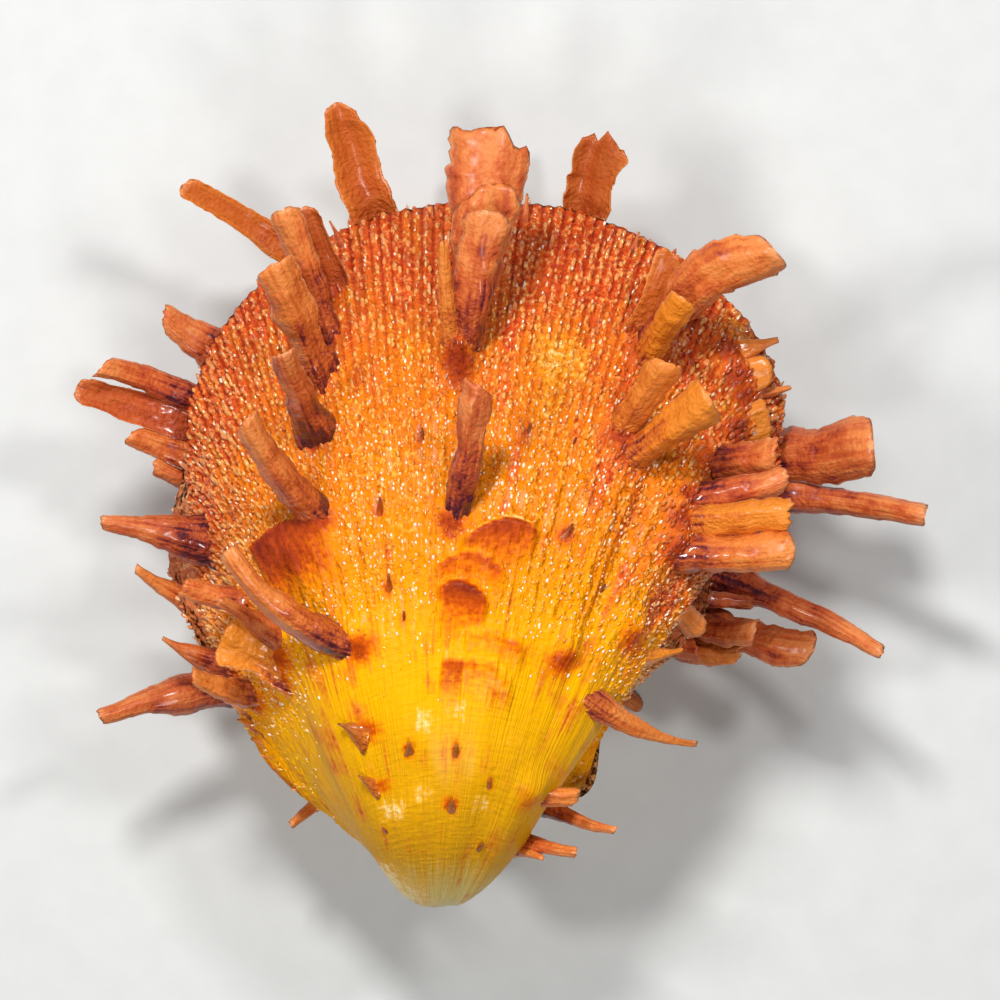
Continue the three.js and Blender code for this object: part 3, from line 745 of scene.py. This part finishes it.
def valve_beads(name, valve, skin, fields, starts, until, shift, fine, seed, material):
    """Rows of beads on the riblets of a valve, joined in one mesh, each with its own tint.

    Starts are the growth shares where the rows on four neighbouring riblets begin, shift is how many
    columns they lie off the crests, and fine makes them smaller and closer.
    """
    points, normal, share, _, bare, dark = skin[:6]
    shares = share[:, 0]
    around, _ = skin_axes()
    dice = np.random.default_rng(seed)
    per_share = share_length(valve)
    columns, heights = [], []
    for riblet in range(2, RIBLETS - 1):
        start = starts[riblet % 4]
        pitch = BEAD_PITCH / fine / per_share
        row = np.arange(start, until, pitch)
        row = row + dice.uniform(-0.45, 0.45, len(row)) * pitch
        row = row[dice.uniform(0, 1, len(row)) < 0.12 + 0.83 * smooth(0.42, 0.56, row)]
        columns.append(np.full(len(row), riblet * STEPS_PER_RIBLET + shift))
        heights.append(np.interp(np.clip(row, start, until), shares, np.arange(len(shares))))
    column, height = np.concatenate(columns), np.concatenate(heights)
    low = np.floor(height).astype(int)
    # Hardly any stand on the flanks beside the hinge, and none on the ledges darkened with stain and
    # painted shade.
    kept = dice.uniform(0, 1, len(low)) < 0.04 + 0.96 * smooth(7, 22, bare[low, column, 1])
    kept = kept & (dark[low, column] < 0.15)
    column, height, low = column[kept], height[kept], low[kept]
    part = (height - low)[:, None]
    here = points[low, column] * (1 - part) + points[low + 1, column] * part
    growth = share[low, column]
    up = normal[low, column]
    along = points[low + 1, column] - points[low, column]
    along = along / np.linalg.norm(along, axis=-1, keepdims=True)
    across = np.cross(along, up)
    turn = around[column] / HINGE_START
    loose = 0.4 + 0.4 * smooth(0.58, 0.64, turn) * (1 - smooth(0.8, 0.86, turn))
    here = here + (loose * dice.uniform(-1, 1, len(here)))[:, None] * across
    size = BEAD_SIZE + BEAD_GROWTH * smooth(0.45, 0.9, growth)
    size = size * fine * dice.uniform(0.5, 1.5, len(here))
    # The smaller a bead, the likelier it gets the painted white glint; the same value sets how much lighter
    # its own tone is.
    glint_and_tone = np.clip(dice.uniform(0, 1, len(here)) * (0.24 / size) ** 0.6, 0, 1)
    drawn_out = 0.09 * smooth(0.7, 0.95, growth) * smooth(8, 22, here[:, 1])
    prickle = 1 + 2.2 * (dice.uniform(0, 1, len(here)) < drawn_out)

    bm = bmesh.new()
    bm.loops.layers.uv.new("UVMap")
    bmesh.ops.create_icosphere(bm, subdivisions=1, radius=1)
    single = bpy.data.meshes.new(name + "_single")
    bm.to_mesh(single)
    bm.free()
    flat = vertex_places(single)
    bm = bmesh.new()
    for _ in here:
        bm.from_mesh(single)
    mesh = bpy.data.meshes.new(name)
    bm.to_mesh(mesh)
    bm.free()
    count, loops = len(flat), len(single.loops)
    bpy.data.meshes.remove(single)
    stretch = dice.uniform(0.8, 1.7, (len(here), 1))
    long = flat[None, :, 1] * stretch + 0.9 * flat[None, :, 2] * prickle[:, None]
    tall = flat[None, :, 2] * (0.5 + 0.35 * prickle[:, None])
    local = (flat[None, :, 0] * 0.95)[..., None] * across[:, None]
    local = local + long[..., None] * along[:, None] + tall[..., None] * up[:, None]
    full = (here[:, None] + size[:, None, None] * local).reshape(-1, 3)
    attributes = {"crest": 1.0, "tint": np.repeat(glint_and_tone, count)}
    attributes["ripe"] = np.repeat(ripeness(bare, share)[low, column], count)
    attributes["bead"] = 1.0
    for field, values in fields.items():
        attributes[field] = np.repeat(values[low, column], count)
    shape_mesh(mesh, full, attributes)
    spot = np.stack([around[column], growth * per_share], -1)
    scale_uvs(mesh, lambda uv: np.repeat(spot, loops, axis=0))
    mesh.materials.append(material)
    mesh.shade_smooth()
    return add_object(name, mesh)


upper_fields = {"stain_and_shade": np.clip(stain_and_shade, 0, 1.2), "red": upper_red, "pale": patches(bare, UPPER_PALE)}
upper_beads = valve_beads(
    "upper_valve_beads", UPPER, upper_skin, upper_fields,
    (0.34, 0.62, 0.44, 0.62), 0.998, 0, 1, 60, upper_shell,
)
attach(upper_beads, "root")
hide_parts("upper_valve")

# Finer beads stand in the furrows half-way out.
fine_beads = valve_beads(
    "upper_valve_fine_beads", UPPER, upper_skin, upper_fields,
    (0.44, 0.48, 0.42, 0.48), 0.8, 2, 0.84, 61, upper_shell,
)
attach(fine_beads, "root")
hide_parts("upper_valve")

# ---------------------------------------------------------------------------------------------
# The spines of the upper valve are blades of the same calcite, rolled into gutters as the mantle
# edge laid them down. They are maroon at the root, salmon along the blade and pale and chipped at
# the end.
SINK = 1.6  # how deep a root starts below the dome
BLADE_THINNEST = 0.75
GROWTH_STEP = 3.4  # along a blade, from one step to the next
LOBE_LENGTH = 4.5  # and from one lobe of its edge to the next
CHIP_LENGTH = 1.1
STRIA_PITCH = 0.75
STRIA_RISE = 0.09
KNOB_RISE = 0.24


def spine_paths(valve, rows, lowest, sink):
    """Root, bend and tip of each spine, and the way across it, as the valve carries them."""
    found = find_on(valve, [row[:2] for row in rows])
    place, normal = place_on(valve, found[:, 0], found[:, 1] - 0.013 * sink)
    root = place - sink * normal
    tip = np.array([row[2:5] for row in rows], float)
    kept = np.clip((root[:, 2] - lowest) / np.maximum(root[:, 2] - tip[:, 2], 1e-6), 0, 1)
    tip = np.where(tip[:, 2:] < lowest, root + (tip - root) * kept[:, None], tip)
    chord = tip - root
    side = np.cross(chord, [0, 0, 1])
    side = side / np.linalg.norm(side, axis=-1, keepdims=True)
    bow = np.array([row[7] for row in rows])[:, None]
    length = np.linalg.norm(chord, axis=-1, keepdims=True)
    bend = root + 0.45 * chord + 0.12 * length * normal + 2 * bow * side
    return root, bend, tip, side


def blades(name, valve, rows, around, along, seed, materials, lowest=-100.0, sink=SINK):
    """All the spines of a group, each a closed gutter-shaped blade, joined in one mesh."""
    root, bend, tip, side = spine_paths(valve, rows, lowest, sink)
    single = sheet_mesh(name + "_single", around, along)
    count = len(single.vertices)
    loops = len(single.loops)
    bm = bmesh.new()
    for _ in rows:
        bm.from_mesh(single)
    mesh = bpy.data.meshes.new(name)
    bm.to_mesh(mesh)
    bm.free()
    flat = vertex_places(single)
    angle = 2 * np.pi * (flat[:, 0] + 0.5)
    t = flat[:, 1] + 0.5
    across = np.cos(angle)
    points = np.empty((len(rows) * count, 3))
    values = {key: np.empty(len(points)) for key in ("along", "across", "tint", "hollow")}
    dice = np.random.default_rng(seed)
    for i, (*_, root_width, tip_width, _, roll, torn, warm) in enumerate(rows):
        shift = dice.uniform(0, 50, 4)
        length = np.linalg.norm(tip[i] - root[i])
        # The end is torn: strips across the blade stop short by different amounts.
        strip = lattice_noise(seed + i, across * 3.5 + shift[0], t * 0, 50, 2)
        fine_strip = lattice_noise(seed + i, across * 9 + shift[1], t * 0, 50, 2)
        short = torn * (0.6 * (1 + strip) + 0.35 * (1 + fine_strip)) / length
        blunt, slant = dice.uniform(0.4, 1.2), dice.uniform(-0.7, 0.7)
        rounding = blunt * tip_width / 2 / length * (1 - np.sqrt(np.clip(1 - across**2, 0, 1)))
        rounding = rounding + tip_width / 2 / length * (abs(slant) + slant * across) * min(1, 2 * torn)
        s = t - np.minimum(short + rounding, 0.6) * smooth(0.4, 1, t) * t
        one = s[:, None]
        middle = (1 - one) ** 2 * root[i] + 2 * one * (1 - one) * bend[i] + one**2 * tip[i]
        tangent = 2 * (1 - one) * (bend[i] - root[i]) + 2 * one * (tip[i] - bend[i])
        tangent = tangent / np.linalg.norm(tangent, axis=-1, keepdims=True)
        flat_way = np.cross(side[i], tangent)
        # Growth steps make the blade a little wider and narrower on its way out.
        uneven = 0.6 * lattice_noise(seed + i, s * 7 + shift[2], across * 0, 50, 2)
        steps = (s * length / GROWTH_STEP + uneven) % 1
        edge = np.sign(across)
        chips = lattice_noise(seed + i, s * length / CHIP_LENGTH + shift[3], edge * 1.5 + 2, 50, 9)
        lobes = lattice_noise(seed + i, s * length / LOBE_LENGTH + shift[2], edge * 2 + 5, 50, 9)
        width = root_width + (tip_width - root_width) * smooth(0, 1, s)
        width = width * (1 + 0.18 * (1 - s) ** 5) * (1 + 0.08 * steps + 0.1 * chips + 0.2 * lobes)
        thick = np.maximum(BLADE_THINNEST, (0.36 - 0.2 * s) * np.minimum(width, 5))
        thick = thick * np.sqrt(np.clip(1 - ((t - 0.93) / 0.07).clip(0, 1) ** 2, 0, 1))
        bulge = math.radians(roll) * smooth(0.02, 0.2, t)
        bulge = np.where(np.abs(bulge) < 1e-3, 1e-3, bulge)
        out = width / 2 * np.sin(bulge * across) / np.sin(bulge)
        drop = width / 2 * (1 - np.cos(bulge * across)) / np.sin(bulge)
        striae = STRIA_RISE * np.cos(across * width * np.pi / STRIA_PITCH + 3 * strip)
        striae = striae + 0.13 * lattice_noise(seed + i, across * 4 + shift[1], s * length / 1.2, 50, 40)
        knobs = lattice_noise(seed + i, across * 7 + shift[3], s * length / 0.9, 50, 60)
        striae = striae + KNOB_RISE * knobs * (1 - smooth(0.1, 0.6, s))
        flute = 0.1 * width * lattice_noise(seed + i, across * 1.6 + shift[0], s * 1.8, 50, 5)
        face = np.sin(angle)
        sheet = flute - drop + 0.11 * width * np.sign(bulge)
        up = np.where(t > 0.9999, 0, (thick / 2 + striae * np.minimum(1, thick)) * face) + sheet
        place = middle + out[:, None] * side[i] + up[:, None] * flat_way
        place[t < 1e-4] = root[i]
        block = slice(i * count, (i + 1) * count)
        points[block] = place
        values["along"][block] = s
        values["across"][block] = across
        values["tint"][block] = warm + dice.uniform(-0.08, 0.08)
        values["hollow"][block] = np.clip(-face * np.sign(bulge), 0, 1)
    points[:, 2] = np.maximum(points[:, 2], lowest)
    shape_mesh(mesh, points, values)
    lengths = np.repeat(np.linalg.norm(tip - root, axis=-1), loops)
    widths = np.repeat([row[5] for row in rows], loops)
    scale_uvs(mesh, lambda uv: np.stack([uv[:, 0] * 2 * widths, uv[:, 1] * lengths], -1))
    bpy.data.meshes.remove(single)
    return closed_object(name, mesh, materials)


def blade_material(name, length_stops, edge, gutter_shade_colour, gloss):
    material, tree, shell = new_material(name)
    uv = add_node(tree, "UVMap", uv_map="UVMap").outputs["UV"]
    place = add_node(tree, "TexCoord").outputs["Object"]
    along, across, tint, hollow = (
        add_node(tree, "Attribute", attribute_name=name).outputs["Fac"]
        for name in ("along", "across", "tint", "hollow")
    )

    # Fibres 0.35 mm wide and 8 mm long run up the blade, over mottling 3 mm across.
    strip = add_node(tree, "Mapping", {"Vector": uv, "Scale": (1 / 0.35, 1 / 8, 1)})
    fibre = add_node(tree, "TexNoise", {"Vector": strip, "Scale": 1.0, "Detail": 3.0})
    blotch = add_node(tree, "TexNoise", {"Vector": place, "Scale": 330.0, "Detail": 4.0})
    speck = add_node(tree, "TexNoise", {"Vector": place, "Scale": 1700.0, "Detail": 2.0})

    shift = add_node(tree, "Math", {0: blotch, 1: fibre}, operation="ADD")
    shift = add_node(tree, "Math", {0: shift, 1: 1.5, 2: -1.5}, operation="MULTIPLY_ADD")
    shift = add_node(tree, "Math", {0: shift, 1: along}, operation="ADD")
    shift = add_node(tree, "Math", {0: speck, 1: 0.5, 2: shift}, operation="MULTIPLY_ADD")
    older = add_node(tree, "Math", {0: tint, 1: 0.5, 2: -0.45}, operation="MULTIPLY_ADD")
    shift = add_node(tree, "Math", {0: shift, 1: older}, operation="ADD")
    colour = add_node(tree, "ValToRGB", {"Fac": shift}, length_stops)
    warm = add_node(tree, "MapRange", {"Value": tint, "From Min": 0.35, "From Max": 1.0, "To Max": 0.75})
    clear = add_node(tree, "MapRange", {"Value": shift, "From Min": 0.15, "From Max": 0.75})
    warm = add_node(tree, "Math", {0: warm, 1: clear}, operation="MULTIPLY")
    mixed = add_node(
        tree, "Mix", {"Factor": warm, "A": colour, "B": linear("#e08210")},
        data_type="RGBA",
    )
    # The inside of the gutter is darker: painted shade in the hollow of the blade.
    inside = add_node(tree, "Math", {0: hollow, 1: 0.75}, operation="MULTIPLY")
    mixed = add_node(
        tree, "Mix", {"Factor": inside, "A": mixed, "B": linear(gutter_shade_colour)},
        data_type="RGBA",
    )
    # The thin edges and the chipped end are paler, and the paler edge is also a painted highlight along the
    # rolled edges.
    rim_of = add_node(tree, "Math", {0: across, 1: across}, operation="MULTIPLY")
    rim_of = add_node(tree, "MapRange", {"Value": rim_of, "From Min": 0.8, "From Max": 1.0})
    end = add_node(tree, "MapRange", {"Value": along, "From Min": 0.94, "From Max": 1.0})
    light = add_node(tree, "Math", {0: rim_of, 1: end}, operation="MAXIMUM")
    light = add_node(tree, "Math", {0: light, 1: fibre}, operation="MULTIPLY")
    open_end = add_node(tree, "MapRange", {"Value": along, "From Min": 0.25, "From Max": 0.6})
    light = add_node(tree, "Math", {0: light, 1: open_end}, operation="MULTIPLY")
    mixed = add_node(tree, "Mix", {"Factor": light, "A": mixed, "B": linear(edge)}, data_type="RGBA")
    tree.links.new(mixed.outputs["Result"], shell.inputs["Base Color"])
    # The root is as rough as the shell that it stands on, and the blade is smoother further out.
    coarse = add_node(
        tree, "MapRange", {"Value": along, "From Min": 0.1, "From Max": 0.6, "To Min": 3, "To Max": 1},
    )
    rise = add_node(tree, "Math", {0: speck, 1: coarse}, operation="MULTIPLY")
    rise = add_node(tree, "Math", {0: rise, 1: fibre}, operation="ADD")
    bump = add_node(tree, "Bump", {"Height": rise, "Strength": 0.7, "Distance": 0.4 * MM})
    tree.links.new(bump.outputs["Normal"], shell.inputs["Normal"])
    shell.inputs["IOR"].default_value = CALCITE_IOR
    shell.inputs["Specular IOR Level"].default_value = 0.15
    shell.inputs["Coat IOR"].default_value = 1.5
    # The film of water is thickest at the root.
    for socket, value, start, stop, low, high in (
        ("Roughness", blotch, 0.0, 1.0, 0.3, 0.55),
        ("Coat Weight", along, 0.2, 0.7, 1.0, gloss),
        ("Coat Roughness", along, 0.2, 0.7, 0.1, 0.24),
    ):
        spread = add_node(
            tree, "MapRange",
            {"Value": value, "From Min": start, "From Max": stop, "To Min": low, "To Max": high},
        )
        tree.links.new(spread.outputs[0], shell.inputs[socket])
    return material


# The hollow colour is painted shade inside the gutters; the edge colour is the paler thin edge with a
# painted highlight.
upper_blade = blade_material(
    "salmon spine calcite",
    [(0.0, "#4c1420"), (0.14, "#7c2820"), (0.32, "#a84422"), (0.6, "#c05a2a"), (1.0, "#d67c42")],
    "#f0a972", "#a84418", 0.3,
)
upper_spines = blades("upper_valve_spines", UPPER, UPPER_SPINES, 36, 56, 40, [upper_blade])
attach(upper_spines, "root")
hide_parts("upper_valve")

# ---------------------------------------------------------------------------------------------
# Thorns are spines that stopped short. Those on the beak are stained brown, those at the margin are
# maroon like the beads round them, and the broad ones along the left flank are orange. Each: x, y, how
# far the tip lies right and onward from there, its height above the surface, the width of the root and
# how orange it is.
OLD_THORNS = [
    (-8.5, 37.4, 0.2, 2.4, 3, 1.5, 0.4), (-3, 46.6, 0.1, 2.2, 2.4, 1.3, 0.4),
    (-7.1, 27.6, -0.1, 2.4, 3, 1.5, 0.4), (-4.5, 7, -0.1, 1.3, 2, 2.2, 0.7),
    (1.4, 6.8, 0.2, 1.3, 1.6, 1.6, 0.7), (0.7, -0.2, 0.3, 1.1, 1.8, 2.4, 0.7),
    (5.7, 2.4, 0.2, 1.3, 1.4, 1.6, 0.7), (-16, 8.4, -0.7, 1, 1.8, 1.1, 0.4),
    (-26.4, 36.6, -1.2, 1.6, 2.6, 1.6, 0.4), (14.6, 34, 2, 2.4, 2.6, 2.4, 0.4),
    (10.6, 47.2, 0.5, 2.2, 2.2, 1.4, 0.4), (4.4, -5.8, 0.5, 0.8, 1.6, 1.2, 0.4),
    (-7.2, -3.6, -0.8, 0.6, 1.4, 1.2, 0.4), (-10, 10.2, -3.8, 0.4, 3, 4.4, 0.7),
    (-8.4, 3, -2.8, 0.9, 2.4, 3, 0.7), (-5.2, 23.6, 0, 1.6, 1.6, 1.1, 0.4),
    (16.4, 46, 0.6, 1.6, 1.6, 1.2, 0.4), (19.6, 27, 1.2, 1.6, 1.8, 1.4, 0.4),
]
YOUNG_THORNS = [
    (-13, 72.4, -2.2, 3.6, 3, 1.6, 0.35), (10.5, 75.2, 0.2, 4.4, 2.6, 1.6, 0.35),
    (-1.4, 75.4, -0.4, 2.6, 2, 1.4, 0.35), (24.6, 71.6, 0.8, 3, 2.2, 1.8, 0.35),
    (25.8, 62.4, 1.1, 5, 3.4, 1.8, 0.35), (30, 67, 1.4, 1.8, 2, 1.4, 0.35),
    (-24, 9.6, -3.4, 1, 0.6, 3.2, 0.95), (-22.4, 7.6, -3.2, 0.4, 0.4, 3, 0.95),
    (-20.8, 5.8, -3.2, 0, 0.2, 2.8, 0.95), (-19, 4, -2.8, -0.6, 0.2, 2.6, 0.95),
    (-17.2, 2.4, -2.4, -1, 0.2, 2.2, 0.95), (-25.6, 12, -3.4, 1.2, 0.6, 3, 0.95),
    (18, 72.6, 0.4, 2.4, 1.8, 1.2, 0.35), (5, 75, 0.2, 2.4, 1.6, 1.1, 0.35),
    (-8, 73.6, -0.6, 2, 1.6, 1.2, 0.35), (14, 58, 0.3, 1.6, 1.4, 1.1, 0.35),
    (-6, 62, -0.3, 1.6, 1.4, 1.1, 0.35), (9, 66, 0.3, 1.8, 1.6, 1.2, 0.35),
    (-20, 62, -0.8, 1.8, 1.8, 1.4, 0.35), (7.4, 70.6, 0.2, 3.6, 1.6, 1.6, 0.35),
    (27, 56, 1, 2, 1.8, 1.4, 0.35),
]
THORN_TIP = 0.3
THORN_ROLL = 35


def thorns(name, rows, seed, material):
    """Thorns on the upper valve as small blades, each tip at its height above the surface."""
    tips = find_on(UPPER, [(x + right, y + onward) for x, y, right, onward, *_ in rows])
    below, _ = place_on(UPPER, tips[:, 0], tips[:, 1])
    full = [
        (x, y, x + right, y + onward, surface + lift, wide, THORN_TIP, 0, THORN_ROLL, 0, warm)
        for (x, y, right, onward, lift, wide, warm), surface in zip(rows, below[:, 2])
    ]
    return blades(name, UPPER, full, 14, 12, seed, [material], sink=0.8)


# The hollow colour is painted shade inside the gutters; the edge colour is the paler thin edge with a
# painted highlight.
old_thorn = blade_material(
    "brown-stained thorn calcite",
    [(0.0, "#d8860c"), (0.3, "#b8500c"), (0.7, "#8c3410"), (1.0, "#6e2a14")],
    "#c87a3c", "#7a2a10", 0.6,
)
old_thorns = thorns("upper_valve_old_thorns", OLD_THORNS, 95, old_thorn)
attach(old_thorns, "root")
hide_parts("upper_valve")

young_thorns = thorns("upper_valve_young_thorns", YOUNG_THORNS, 195, upper_blade)
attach(young_thorns, "root")
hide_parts("upper_valve")

# ---------------------------------------------------------------------------------------------
# The lower valve is flatter and has no beak. It is more pink, and stands out past the upper one at
# the left and at the lower right.
LOWER = {
    "side": -1, "coil": 0.78, "umbo": (0.5, -3.5),
    "overhang": [((-34, 31), 4, 16), ((31, 24), 3, 11), ((18, 5), 2.4, 7)],
}
LOWER_SPINES = [
    # those that stand out past the upper valve, round from the left end of the hinge
    (-11, 4, -20.6, -3.6, -3, 4, 1.1, 0.6, 50, 0.1, 0.6),
    (-24, 16, -46, 10.8, 2, 7.2, 2.2, 1, 50, 0.2, 0.25),
    (-28, 25.5, -40.8, 30.6, 3, 5.4, 1.2, -1, 60, 0.1, 0.45),
    (-29, 40, -39, 44.4, -1, 3.2, 2.4, 0, 50, 0.4, 0.2),
    (-29, 43.4, -42.6, 48.2, 1, 3.6, 2.8, 0.6, 60, 0.4, 0.4),
    (-29, 49, -48.8, 54.2, 4, 4.2, 3.6, 0, -55, 0.5, 0.2),
    (-28.4, 51.4, -46, 57, 6, 3.8, 3, 0.8, 60, 0.4, 0.15),
    (-25, 56.5, -38.4, 64.6, 1, 7.6, 3.2, 0, 35, 0.5, 0.2),
    (-14.5, 69.4, -34.6, 81, 5, 3.8, 3.2, 0, -30, 0.2, 0.8),
    (-6, 70, -14.4, 92, 4, 4.8, 5.8, -0.6, -50, 0.4, 0.8),
    (16, 70, 21.6, 88.8, 3, 5, 6.4, 0, -50, 1.6, 0.5),
    (35.6, 57, 44, 57.4, -0.6, 5, 3, 0, 30, 0.4, 0.6),
    (36, 45.6, 57, 46.8, 5, 6, 7.4, 0.6, 60, 0.1, 0.2),
    (35, 41.8, 63.2, 37.2, 6, 4.6, 3, -0.8, 80, 0.1, 0.25),
    (31.4, 31.6, 57.6, 19, 3, 5, 2, -1.4, 45, 0.2, 0.25),
    (30, 28.4, 49, 19.6, 1, 4.2, 4.6, 1.6, 50, 0.5, 0.35),
    (29, 27.6, 41, 22.4, 3, 4, 3.4, 2, 60, 0.1, 0.3),
    (31.6, 27.6, 41, 25.6, -4, 2.6, 1.8, 0, 60, 0.3, 0.15),
    (27, 24.6, 39.6, 19.4, -2, 4.4, 2.8, 1.4, 50, 0.7, 0.6),
    (26.6, 21.8, 34.6, 19.8, 0, 3.6, 3, 0, 50, 0.5, 0.3),
    # those underneath that carry the pair on their worn tips
    (-13, 18, -25, 13, -25.2, 4, 2.4, 1, 50, 0, 0.4),
    (16, 17, 28, 11, -25.2, 4, 2.4, -1, 50, 0, 0.4),
    (-19, 45, -35, 52, -25.2, 4.4, 2.6, 1.4, 50, 0, 0.4),
    (24, 44, 42, 50, -25.2, 4.4, 2.6, -1.4, 50, 0, 0.4),
    (-5, 60, -11, 77, -25.2, 4.4, 2.8, 1, 50, 0, 0.4),
    (13, 60, 21, 77, -25.2, 4.4, 2.8, -1, 50, 0, 0.4),
    # the others underneath
    (-17, 31, -33, 35, -21, 4, 1.8, 1.2, 50, 0.3, 0.4),
    (21, 30, 37, 34, -20, 4, 1.8, -1.2, 50, 0.3, 0.4),
    (-13, 55, -24, 70, -19, 4.2, 2.2, 1, 50, 0.3, 0.4),
    (20.5, 55, 32, 69, -19, 4.2, 2.2, -1, 50, 0.3, 0.4),
    (4, 52, 4.6, 66, -23, 4, 2.4, 0, 50, 0.3, 0.4),
    (4, 67, 5, 86, -14, 4.4, 3.4, 0, 50, 0.4, 0.4),
    (-7, 9, -14, 1, -17, 3, 1.2, 0, 50, 0.2, 0.4),
    (9, 9, 17, 2, -16, 3, 1.2, 0, 50, 0.2, 0.4),
]
lower_roots = find_on(LOWER, [row[:2] for row in LOWER_SPINES])
root_places, _ = place_on(LOWER, lower_roots[:, 0], lower_roots[:, 1])
LOWER_MOUND = (0.7, 2.6)
LOWER_STAIN_REACH = 2.2
lower_skin = valve_skin(
    LOWER, 23, [(place, *LOWER_MOUND) for place in root_places], lambda turn: (0.8, 0.3), [],
)
bare = lower_skin[4]
stain_and_shade = np.zeros(bare.shape[:2])
for place in root_places:
    away = np.linalg.norm(bare - place, axis=-1) / LOWER_STAIN_REACH
    stain_and_shade += 0.8 * np.exp(-(away**2))
# The furrow colour is maroon pigment with painted shade; the bead colour lightens crests and beads with
# their own tone and a painted highlight.
lower_shell = shell_material(
    "wet pink and orange calcite",
    [(0.0, "#efe0c8"), (0.2, "#e6b068"), (0.5, "#dc8a44"), (0.8, "#cf6c3c"), (1.0, "#d98a5c")],
    [(0.0, "#a03a22"), (0.3, "#c8663c"), (0.55, "#e09060"), (0.9, "#f6c49c")],
    "#b25434", "#d8a070", [(0.4, "#eeb070"), (1.0, "#f6d8b0")], 0.9,
)
stain_and_shade = np.clip(stain_and_shade, 0, 1)
lower_patches = {"red": np.zeros(bare.shape[:2]), "pale": np.full(bare.shape[:2], 0.3)}
lower_body = valve_body(
    "lower_valve_body", LOWER, lower_skin, stain_and_shade, lower_patches, [lower_shell, porcelain],
)
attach(lower_body, "root")
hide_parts("lower_valve")

lower_beads = valve_beads(
    "lower_valve_beads", LOWER, lower_skin, {"stain_and_shade": stain_and_shade, **lower_patches},
    (0.84, 0.84, 0.84, 0.84), 0.998, 0, 1, 170, lower_shell,
)
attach(lower_beads, "root")
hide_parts("lower_valve")

floor_height = -HINGE[2] / MM
lower_spines = blades(
    "lower_valve_spines", LOWER, LOWER_SPINES, 32, 48, 140, [upper_blade], lowest=floor_height,
)
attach(lower_spines, "root")
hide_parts("lower_valve")

# ---------------------------------------------------------------------------------------------
# The ligament: a wedge of dark elastic protein in the pit between the hinge plates.
rubbery, tree, fibres = new_material("dark fibrous ligament")
place = add_node(tree, "TexCoord").outputs["Object"]
# Layers 0.3 mm thick, laid down across the hinge line.
layers = add_node(tree, "Mapping", {"Vector": place, "Scale": (200, 3300, 700)})
grain = add_node(tree, "TexNoise", {"Vector": layers, "Scale": 1.0, "Detail": 3.0})
brown = add_node(tree, "ValToRGB", {"Fac": grain}, [(0.3, "#1c100a"), (0.7, "#4a2c1a")])
tree.links.new(brown.outputs["Color"], fibres.inputs["Base Color"])
bump = add_node(tree, "Bump", {"Height": grain, "Strength": 0.6, "Distance": 0.3 * MM})
tree.links.new(bump.outputs["Normal"], fibres.inputs["Normal"])
fibres.inputs["Roughness"].default_value = 0.45
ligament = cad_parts["hinge_ligament"]
ligament.data.materials.clear()
ligament.data.materials.append(rubbery)
